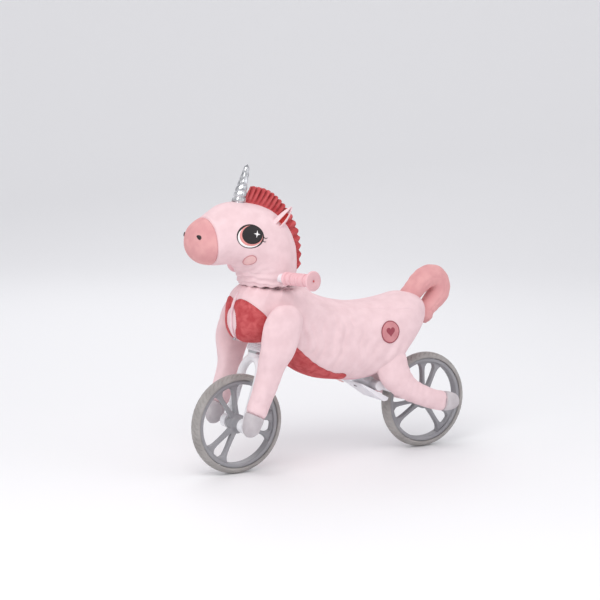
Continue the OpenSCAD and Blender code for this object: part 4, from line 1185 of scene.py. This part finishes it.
# %% [markdown]
# A zip runs down the chest, so that the cover can be pulled off for washing.
# Its tape is a flat ribbon, and the sewing tree sets its two rows of teeth.

# %% The chest zip
def chest_centre(n=160):
    """The middle line from the neck down to the belly, with the way out at each point."""
    top = body_at(np.linspace(0.885, 1, 60), np.zeros(60))
    low = body_at(np.linspace(1, 0.87, 50), np.full(50, math.pi))
    path = np.concatenate([top, low])
    path, _ = evenly(path, np.linalg.norm(np.diff(path, axis=0), axis=1).sum() / n)
    path[:, 1] = 0
    for _ in range(3):
        path[2:-2] = (path[:-4] + path[1:-3] + path[2:-2] + path[3:-1] + path[4:]) / 5
    ahead = np.gradient(path, axis=0)
    out = np.stack([-ahead[:, 2], 0 * ahead[:, 0], ahead[:, 0]], -1)
    return path, out / np.linalg.norm(out, axis=1, keepdims=True)


line, out = chest_centre()
if out[len(out) // 2, 0] < 0:
    out = -out
section = [(-4.4, -1.5), (-4.0, 0.4), (-2.4, 0.9), (-1.4, 1.8), (1.4, 1.8), (2.4, 0.9), (4.0, 0.4), (4.4, -1.5)]
ribbon = np.stack([line + out * h + np.array([0, y, 0]) for y, h in section], 1)
dress(loft("zip_band", ribbon), "frame", "zip_tape", "chest_zip", paint=piping_cloth)
for side in (-1, 1):
    dress(tube(f"zip_piping_{'left' if side > 0 else 'right'}", line + out * 0.8 + [0, side * 4.3, 0], 1.1, 10), "frame", "zip_tape",
            paint=piping_cloth)
    sewn(f"zip_teeth_{'left' if side > 0 else 'right'}", line + out * 2.1 + [0, side * 0.9, 0], out, "frame", "zip_tape", white_print,
            step=2.2, length=1.3, width=2.0, height=1.4)
k = int(len(line) * 0.86)
slider = tube("zip_pull", line[k:k + 9] + out[k:k + 9] * 4.2, [2.4, 3.2, 3.6, 3.6, 3.4, 3.0, 2.2, 2.0, 1.6], 12)
dress(slider, "frame", "steel", "zip_slider", paint=steel)
u = np.linspace(0, 1, 16)[:, None]
tab_mid = body_at([0.454], [math.pi])[0] + np.array([4, 0, -0.5]) + u * [-34, 0, -12] + np.sin(u * math.pi) * [0, 0, 2.5]
tab = np.stack([tab_mid + np.array([0, y, h]) for y, h in [(-11, -1.2), (-11.5, 0), (-11, 1.2), (0, 1.9), (11, 1.2), (11.5, 0), (11, -1.2),
        (0, -1.9)]], 1)
dress(loft("tie_tab", tab), "frame", "plush_salmon", "belly_tab", paint=blush_plush)
print("zip length in mm:", round(float(np.linalg.norm(np.diff(line, axis=0), axis=1).sum())))

# %% [markdown]
# The head is stuffed hard, so its skin is smooth, with shallow unevenness.
# The salmon muzzle is a separate panel, and the skin dips where the two are sewn together.
# Towards the neck, soft rings show where the cloth is drawn in.

# %% The head and the muzzle
def head_folds(p):
    x, y, z = p[..., 0] - front_x, p[..., 1], p[..., 2]
    neck = ramp(z, 520, 492)
    rings = np.sin((z + 5 * lumps(p, 70, 21)) / 9.5 * 2 * math.pi) * neck
    chin = np.sin((z * 0.8 + x * 0.5 + 6 * lumps(p, 60, 22)) / 15 * 2 * math.pi) * ramp(z, 545, 505) * ramp(x, -60, -10) * ramp(x, 40, 15)
    return 1.2 * rings + 1.3 * chin + 0.8 * lumps(p, 110, 23) + 0.3 * lumps(p, 35, 24)


def head_piece(low, high, rings, around=200):
    """Rings of the head between two edges, drawn in where the muzzle is sewn on."""
    t = np.linspace(0, 2 * math.pi, around, endpoint=False)
    s = low(t) + (high(t) - low(t)) * np.linspace(0, 1, rings)[:, None]
    p = np.stack([head_at(row, t) for row in s])
    push = head_folds(p) - 2.6 * ridge(s - muzzle_seam(t), 0.008)
    return p + grid_normals(p) * push[..., None]


def torso_top(p):
    """Height of the torso's back under points, in mm."""
    s = np.interp(p[:, 0], body_at(np.linspace(0, 1, 400), np.zeros(400))[:, 0], np.linspace(0, 1, 400))
    r = row_at(BODY_ROWS, s)
    sine = np.clip(np.abs(p[:, 1]) / r[:, 3], 0, 1) ** 1.25
    return tyre_top + (r[:, 1] + r[:, 2]) / 2 + (r[:, 1] - r[:, 2]) / 2 * np.sqrt(1 - sine**2) ** 0.8


skin = head_piece(muzzle_seam, np.ones_like, 190)
drop = np.clip(skin[-1][:, 2] - torso_top(skin[-1]) - 12, 0, 7)
drop = drop + 1.6 * np.sin(14 * np.linspace(0, 2 * math.pi, 200, endpoint=False))
skin[..., 2] -= drop * ramp(skin[..., 2], 510, 484)
last = skin[-1]
middle = last.mean(axis=0)
under = [middle + (last - middle) * k + [0, 0, h]
        for k, h in ((1.0, -3.0), (0.975, -5.0), (0.93, -5.6), (0.88, -4.2), (0.85, 0.0), (0.84, 5.0))]
head = loft("head_plush", np.concatenate([skin, under]), (False, False))
dress(head, "handlebar_and_head", "plush_pink", "head", fill=0.9, paint=pink_plush)
# Under the head, a dark red sheet is painted shade for the shadow beneath the head.
inner = [middle + (last - middle) * k + [0, 0, h] for k, h in ((0.86, 4.0), (0.6, 10.0), (0.3, 13.0), (0.06, 14.0))]
dress(loft("head_lining", np.stack(inner), (False, True)), "handlebar_and_head", "velvet_rose", paint=dark_lining)
nose = head_piece(np.zeros_like, muzzle_seam, 110)
tip = nose[0]
middle = tip.mean(axis=0)
cap = [middle + (tip - middle) * k + [dx, 0, 0] for k, dx in ((0.25, 3.4), (0.55, 2.9), (0.82, 1.6))]
muzzle = loft("muzzle_plush", np.concatenate([cap, nose]))
dress(muzzle, "handlebar_and_head", "plush_salmon", "muzzle", fill=0.9, paint=salmon_plush)
ring_t = np.linspace(0, 2 * math.pi, 240, endpoint=False)
edge, out = skin_points(head_at, head_folds, muzzle_seam(ring_t), ring_t, np.full(240, -1.8))
sewn("muzzle_stitches", edge, out, "handlebar_and_head", "plush_salmon", pale_thread, closed=True, height=0.8, length=2.4)
print("head length in mm:", round(float(np.ptp(np.concatenate([skin, nose])[..., 0]))))

# %% [markdown]
# Each eye is printed and embroidered cloth: a thick dark outline, a pale white, a salmon crescent,
# a large black pupil and a small star of light. Each layer stands a hair above the one below.

# %% Eyes, cheeks and nostrils
EYE = (rear_x + 562, 600)
k = np.linspace(0, 2 * math.pi, 90, endpoint=False)


def oval(cx, cz, rx, rz, tilt=0.0):
    x, z, a = rx * np.cos(k), rz * np.sin(k), math.radians(tilt)
    return np.stack([cx + x * math.cos(a) - z * math.sin(a), cz + x * math.sin(a) + z * math.cos(a)], -1)


star_r = np.where(np.arange(8) % 2 == 0, 9.0, 2.6)
star_a = np.radians(np.arange(8) * 45 + 12)
star_uv = np.stack([-16 + star_r * np.cos(star_a), 5 + star_r * np.sin(star_a)], -1)
star_uv = np.concatenate([star_uv, star_uv[:1]])
star_uv = np.concatenate([a0 + (b0 - a0) * np.linspace(0, 1, 8, endpoint=False)[:, None] for a0, b0 in zip(star_uv[:-1], star_uv[1:])])
eye_layers = [("outline", oval(0, 0, 34.6, 29.0, 8), 0.7, black_print), ("white", oval(1.6, -1.8, 30.8, 25.2, 8), 1.1, white_print),
              ("iris", oval(-1.6, 1.4, 29.8, 24.6, 8), 1.4, salmon_print), ("pupil", oval(-4.4, 3.6, 26.6, 22.4, 6), 1.75, black_print),
              ("star", star_uv, 2.15, white_print)]
for label, uv, out_by, finish in eye_layers:
    piece = layer("eye_" + label, head_at, head_folds, side_shape(head_at, EYE, uv), out_by, rings=8, edge=0.03, under=out_by - 0.6)
    nodes = ("eye_left", "eye_right") if label == "pupil" else ("", "")
    pair(piece, lambda side, label=label: f"eye_{label}_{side}", "handlebar_and_head", "eye_print", finish, nodes)
for number, (u0, v0, u1, v1) in enumerate(((-33.0, -3.0, -44.0, -5.5), (-30.5, -10.5, -39.5, -14.5)), 1):
    u = np.linspace(0, 1, 14)
    curve_uv = np.stack([u0 + (u1 - u0) * u, v0 + (v1 - v0) * u - 2.2 * np.sin(u * math.pi)], -1)
    lash = side_shape(head_at, EYE, curve_uv)
    path, _ = skin_points(head_at, head_folds, lash[:, 0], lash[:, 1], np.full(14, 0.6))
    pair(tube("lash", path, np.linspace(1.3, 0.5, 14), 8), lambda side, number=number: f"lash_{number}_{side}", "handlebar_and_head",
            "eye_print", black_print)
cheek_line = side_shape(head_at, (rear_x + 555, 540), oval(0, 0, 13.6, 12.2))
pair(layer("cheek", head_at, head_folds, cheek_line, 1.2, puff=0.5), lambda side: f"cheek_{side}_disc", "handlebar_and_head",
        "plush_salmon", blush_plush, ("cheek_left", "cheek_right"))
satin_edge("cheek_edge", head_at, head_folds, cheek_line, "handlebar_and_head", "plush_salmon", badge_plush, width=2.2, out=0.9)
nostril_centre = head_at([0.136], [math.radians(67)])[0]
nostril_line = side_shape(head_at, (nostril_centre[0], nostril_centre[2]),
        np.stack([3.7 * np.cos(k), 5.4 * np.sin(k) + 1.2 * np.cos(k) ** 2], -1))
left = layer("nostril", head_at, head_folds, nostril_line, 0.9, rings=6, puff=0.6)
pair(left, lambda side: f"nostril_{side}", "handlebar_and_head", "eye_print", black_print, ("nostrils", "nostrils"))
print("face layers:", len(eye_layers))

# %% [markdown]
# The mane is one long strip of velvet, gathered so tightly that it stands up in deep pleats.
# A strip that waves from side to side, and more at its free edge than at its seam, is exactly that.

# %% The pleated mane
n_s, n_e = 1400, 16
share = np.linspace(0, 1, n_s)
s = 0.592 + 0.408 * share
base, crest = head_at(s, np.zeros(n_s), 0.5), head_at(s, np.zeros(n_s), 12.0)
outward = (crest - base) / np.linalg.norm(crest - base, axis=1, keepdims=True)
ahead = np.gradient(base, axis=0)
ahead /= np.linalg.norm(ahead, axis=1, keepdims=True)
run = np.concatenate([[0], np.cumsum(np.linalg.norm(np.diff(base, axis=0), axis=1))])
height = (41 - 15 * ramp(share, 0.15, 0.75)) * ramp(share, -0.06, 0.03) * (1 - 0.55 * ramp(share, 0.86, 1.0))
pace = 2 * math.pi / (12.5 + 10.0 * ramp(share, 0.35, 0.8))
phase = np.cumsum(pace * np.gradient(run)) + 1.0 * np.sin(run / 37) + 0.5 * np.sin(run / 17 + 1)
level = np.linspace(-0.10, 1, n_e)
sway = 0.9 + (5.6 - 1.6 * ramp(share, 0.35, 0.7))[:, None] * np.clip(level, 0, 1) ** 0.8
wave = np.sin(phase) + 0.18 * np.sin(2 * phase + 0.6)
tall = height * (1 + 0.03 * np.cos(2 * phase) + 0.05 * np.sin(run / 23))
lean = 5.0 * np.sin(run / 21 + 0.7) + (1.0 + 3.5 * ramp(share, 0.4, 0.9)) * np.cos(phase)
sheet = (base[:, None] + outward[:, None] * (tall[:, None] * level)[..., None]
         + ahead[:, None] * (lean[:, None] * np.clip(level, 0, 1) ** 2 * 0.55)[..., None]
         + np.array([0, 1, 0]) * (wave[:, None] * sway)[..., None])
normal = np.cross(np.gradient(sheet, axis=0), np.gradient(sheet, axis=1))
normal /= np.linalg.norm(normal, axis=-1, keepdims=True) + 1e-9
thick = 1.5 * np.sqrt(np.clip(1 - np.clip((level - 0.88) / 0.12, 0, 1) ** 2, 0.02, 1))
front, back = sheet + normal * thick[None, :, None], sheet - normal * thick[None, :, None]
mane = loft("mane_velvet", np.concatenate([front, back[:, ::-1]], axis=1))
dress(mane, "handlebar_and_head", "velvet_rose", "mane", paint=rose_velvet)
print("pleats in the mane:", int(phase[-1] / 2 / math.pi))

# %% [markdown]
# The horn is silver foil cloth over stuffing, pinched by a spiral of thread into rounded rolls.

# %% The horn
foot = head_at([0.565], [0.0], -3.0)[0]
lean_way = np.array([-math.sin(math.radians(16)), 0, math.cos(math.radians(16))])
f = np.linspace(0, 1, 150)[:, None]
t = np.linspace(0, 2 * math.pi, 72, endpoint=False)[None]
turn = 6.5 * f**0.92 - t / (2 * math.pi)
pinch = np.abs(np.sin(math.pi * turn)) ** 0.55
radius = 18.2 * (1 - 0.66 * f) * (0.84 + 0.16 * pinch) * (1 + 0.03 * np.cos(7 * t + 9 * f)) * np.sqrt(1 - 0.97 * ramp(f, 0.90, 1.0))
side_way = np.cross([0, 1, 0], lean_way)
p = foot + lean_way * (f * 97)[..., None] + radius[...,
        None] * (np.cos(t)[..., None] * side_way + np.sin(t)[..., None] * np.array([0, 1, 0]))
dress(loft("horn_rolls", p), "handlebar_and_head", "horn_silver", "horn", paint=horn_foil, fill=0.95)
print("horn length in mm:", 97)

# %% [markdown]
# An ear is a leaf of plush folded into a cup, with a coral lining that shows through the opening.

# %% The ears
EAR = np.array([[front_x + r[0], r[1], axle_z + r[2], r[3]] for r in [
    [-55, 53, 471, 9.0], [-66, 57, 482, 12.0], [-80, 62, 497, 14.2], [-94, 65, 511, 13.6], [-108, 66, 525, 9.8], [-120, 66, 538, 2.8]]])
EAR_ACROSS = np.array([math.cos(math.radians(44)), 0, math.sin(math.radians(44))])
OPEN_WAY = np.array([0.18, 0.97, -0.1])
OPEN_WAY /= np.linalg.norm(OPEN_WAY)


def ear_shell(name, outer, inner, reach, deep=0.62):
    rings = []
    for f in np.linspace(0, 1, 60):
        x, y, z, r = row_at(EAR, f)[0]
        angles = np.radians(np.linspace(-reach, reach, 40))
        loop = [(r * outer, b) for b in angles] + [(max(r * outer - inner, 0.2), b) for b in angles[::-1]]
        rings.append([np.array([x, y, z]) + q * (math.sin(b) * EAR_ACROSS - deep * math.cos(b) * OPEN_WAY) for q, b in loop])
    made = loft(name, np.array(rings))
    made.modifiers.new("smooth", "SUBSURF").levels = 1
    return settled(made)


pair(ear_shell("ear", 1.0, 3.0, 152), lambda side: f"ear_{side}_plush", "handlebar_and_head", "plush_pink", pink_plush,
        ("ear_left", "ear_right"), fill=0.5)
pair(ear_shell("ear_lining", 0.78, 0.8, 146), lambda side: f"ear_{side}_lining", "handlebar_and_head", "velvet_rose", coral_lining)
print("ears made")

# %% [markdown]
# Under the cover is a small saddle. It is hidden in use, and shows when the cover is off.

# %% The saddle's padded top
low, high = (np.array(v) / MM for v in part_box("saddle_pad"))
SADDLE = [[-0.50, 0.34, 0.45], [-0.46, 0.46, 0.80], [-0.30, 0.50, 1.0], [0.00, 0.40, 0.92], [0.28, 0.27, 0.9], [0.46, 0.20, 0.8],
        [0.50, 0.12, 0.5]]


def saddle_at(s, t):
    r = row_at(SADDLE, s)
    rise = (high[2] - low[2]) * r[:, 2]
    return np.stack([(low[0] + high[0]) / 2 + r[:, 0] * (high[0] - low[0]), r[:, 1] * (high[1] - low[1]) * flat(np.sin(t), 2.6),
                     low[2] + rise * (0.5 + 0.5 * flat(np.cos(t), 2.6))], -1)


saddle = stuffed(loft("saddle_cushion", grid(saddle_at, np.linspace(0, 1, 60), 60)), voxel=4.0, cap=2.0,
        pinned=lambda q: ramp(q[:, 2], low[2] + 5, low[2] + 1))
dress(saddle, "seat", "saddle_vinyl", "saddle_pad", fill=0.5, paint=saddle_vinyl)
print("saddle length in mm:", round(float(high[0] - low[0])))

# %% [markdown]
# The grips end in a flat disc with moulded rings round a small hole, and a red plug sits in it. The disc and the rings
# are a deeper pink than the grip, which is painted shade on the grip ends.

# %% Rings and plugs on the grip ends
bar_middle = np.array([front_x + 40 * math.cos(RAKE) - 370.6 * math.sin(RAKE), 0, axle_z + 40 * math.sin(RAKE) + 370.6 * math.cos(RAKE)])
sweep, rise = math.radians(11), math.radians(2.5)
bar_way = np.array([-math.sin(sweep) * math.cos(rise), math.cos(sweep) * math.cos(rise), math.sin(rise)])
grip_end = bar_middle + [0, 30, 0] + bar_way * ((188 - 30) / math.cos(sweep))
one = np.cross(bar_way, [0, 0, 1])
one /= np.linalg.norm(one)
two = np.cross(bar_way, one)
turns = np.linspace(0, 2 * math.pi, 64, endpoint=False)
ring_way = np.cos(turns)[:, None] * one + np.sin(turns)[:, None] * two
for number, r in enumerate((7.5, 13.0, 18.5), 1):
    pair(tube("grip_ring", grip_end + ring_way * r, 0.8, 8, closed=True), lambda side, number=number: f"grip_ring_{number}_{side}",
            "handlebar_and_head", "grip_pink", grip_rubber_painted_shade)
plug = np.stack([grip_end + bar_way * h + ring_way * r for r, h in ((2.6, -3.0), (2.6, 0.2), (2.2, 0.7), (1.2, 0.9), (0.2, 0.95))])
pair(loft("grip_plug", plug), lambda side: f"grip_plug_{side}", "handlebar_and_head", "grip_pink", red_rubber)
# The thin disc on each grip end carries painted shade in a deeper pink.
face = np.stack([grip_end + bar_way * h + ring_way * r for r, h in ((2.9, -0.5), (3.2, 0.35), (13.0, 0.45), (22.6, 0.35), (23.6, -0.5))])
pair(loft("grip_face", face, (True, False)), lambda side: f"grip_face_{side}", "handlebar_and_head", "grip_pink", grip_rubber_painted_shade)
ribs = [tube("rib", grip_end - bar_way * run + ring_way * 15.1, 1.1, 8, closed=True) for run in np.arange(17, 92, 9.2)]
pair(joined("grip_ribs", ribs), lambda side: f"grip_ribs_{side}", "handlebar_and_head", "grip_pink", grip_rubber)
print("grip ribs:", len(ribs))

# %% [markdown]
# The light is soft and even: a pale world, one large lamp above and one on the shaded side.

# %% Floor, light and camera
away = Vector((-0.516, -0.841, 0)).normalized()
across_view = Vector((away.y, -away.x, 0))
lines = []
for i in range(61):
    f = i / 60
    run = -5 + 8.2 * min(f / 0.7, 1)
    if f <= 0.7:
        lines.append((run, 0.0))
    else:
        turn = (f - 0.7) / 0.3 * math.pi / 2
        lines.append((3.2 + 2.5 * math.sin(turn), 2.5 - 2.5 * math.cos(turn)))
lines.append((5.7, 9.0))
verts, faces = [], []
for run, up in lines:
    for side in (-9, 9):
        q = away * run + across_view * side
        verts.append((q.x / MM, q.y / MM, up / MM))
for i in range(len(lines) - 1):
    faces.append([2 * i, 2 * i + 1, 2 * i + 3, 2 * i + 2])
floor = mesh_object("studio_floor", verts, faces)
floor_paint = new_finish("floor_paint", srgb(244, 244, 246), 0.7, Specular_IOR_Level=0.2)
floor.data.materials.append(floor_paint)

world = bpy.data.worlds.new("soft_world")
scene.world = world
world.use_nodes = True
world.node_tree.nodes["Background"].inputs["Color"].default_value = (0.98, 0.98, 1.0, 1)
world.node_tree.nodes["Background"].inputs["Strength"].default_value = 0.74


def soft_lamp(name, place, aim, size, watts, colour=(1, 1, 1)):
    data = bpy.data.lights.new(name, "AREA")
    data.shape, data.size, data.energy, data.color = "DISK", size, watts, colour
    made = bpy.data.objects.new(name, data)
    scene.collection.objects.link(made)
    made.location = place
    made.rotation_euler = (Vector(aim) - Vector(place)).to_track_quat("-Z", "Y").to_euler()
    return made


soft_lamp("key_lamp", (1.6, 1.5, 2.6), (0, 0, 0.35), 2.2, 40, (1.0, 0.985, 0.97))
soft_lamp("fill_lamp", (-1.9, 2.6, 1.6), (0, 0, 0.35), 2.6, 13, (0.97, 0.98, 1.0))
soft_lamp("back_lamp", (-0.8, -2.6, 2.4), (0, 0, 0.4), 2.4, 18)
scene.view_settings.view_transform = "Standard"

camera_data = bpy.data.cameras.new("camera")
camera_data.lens, camera_data.sensor_width = 120, 36
camera_data.clip_start, camera_data.clip_end = 0.1, 60
camera = bpy.data.objects.new("camera", camera_data)
scene.collection.objects.link(camera)
camera.location = (2.6705, 4.2055, 1.2217)
camera.rotation_euler = (math.pi / 2 - 0.161297, 0, 2.591504)
scene.camera = camera
print("helpers ready: soft_lamp")
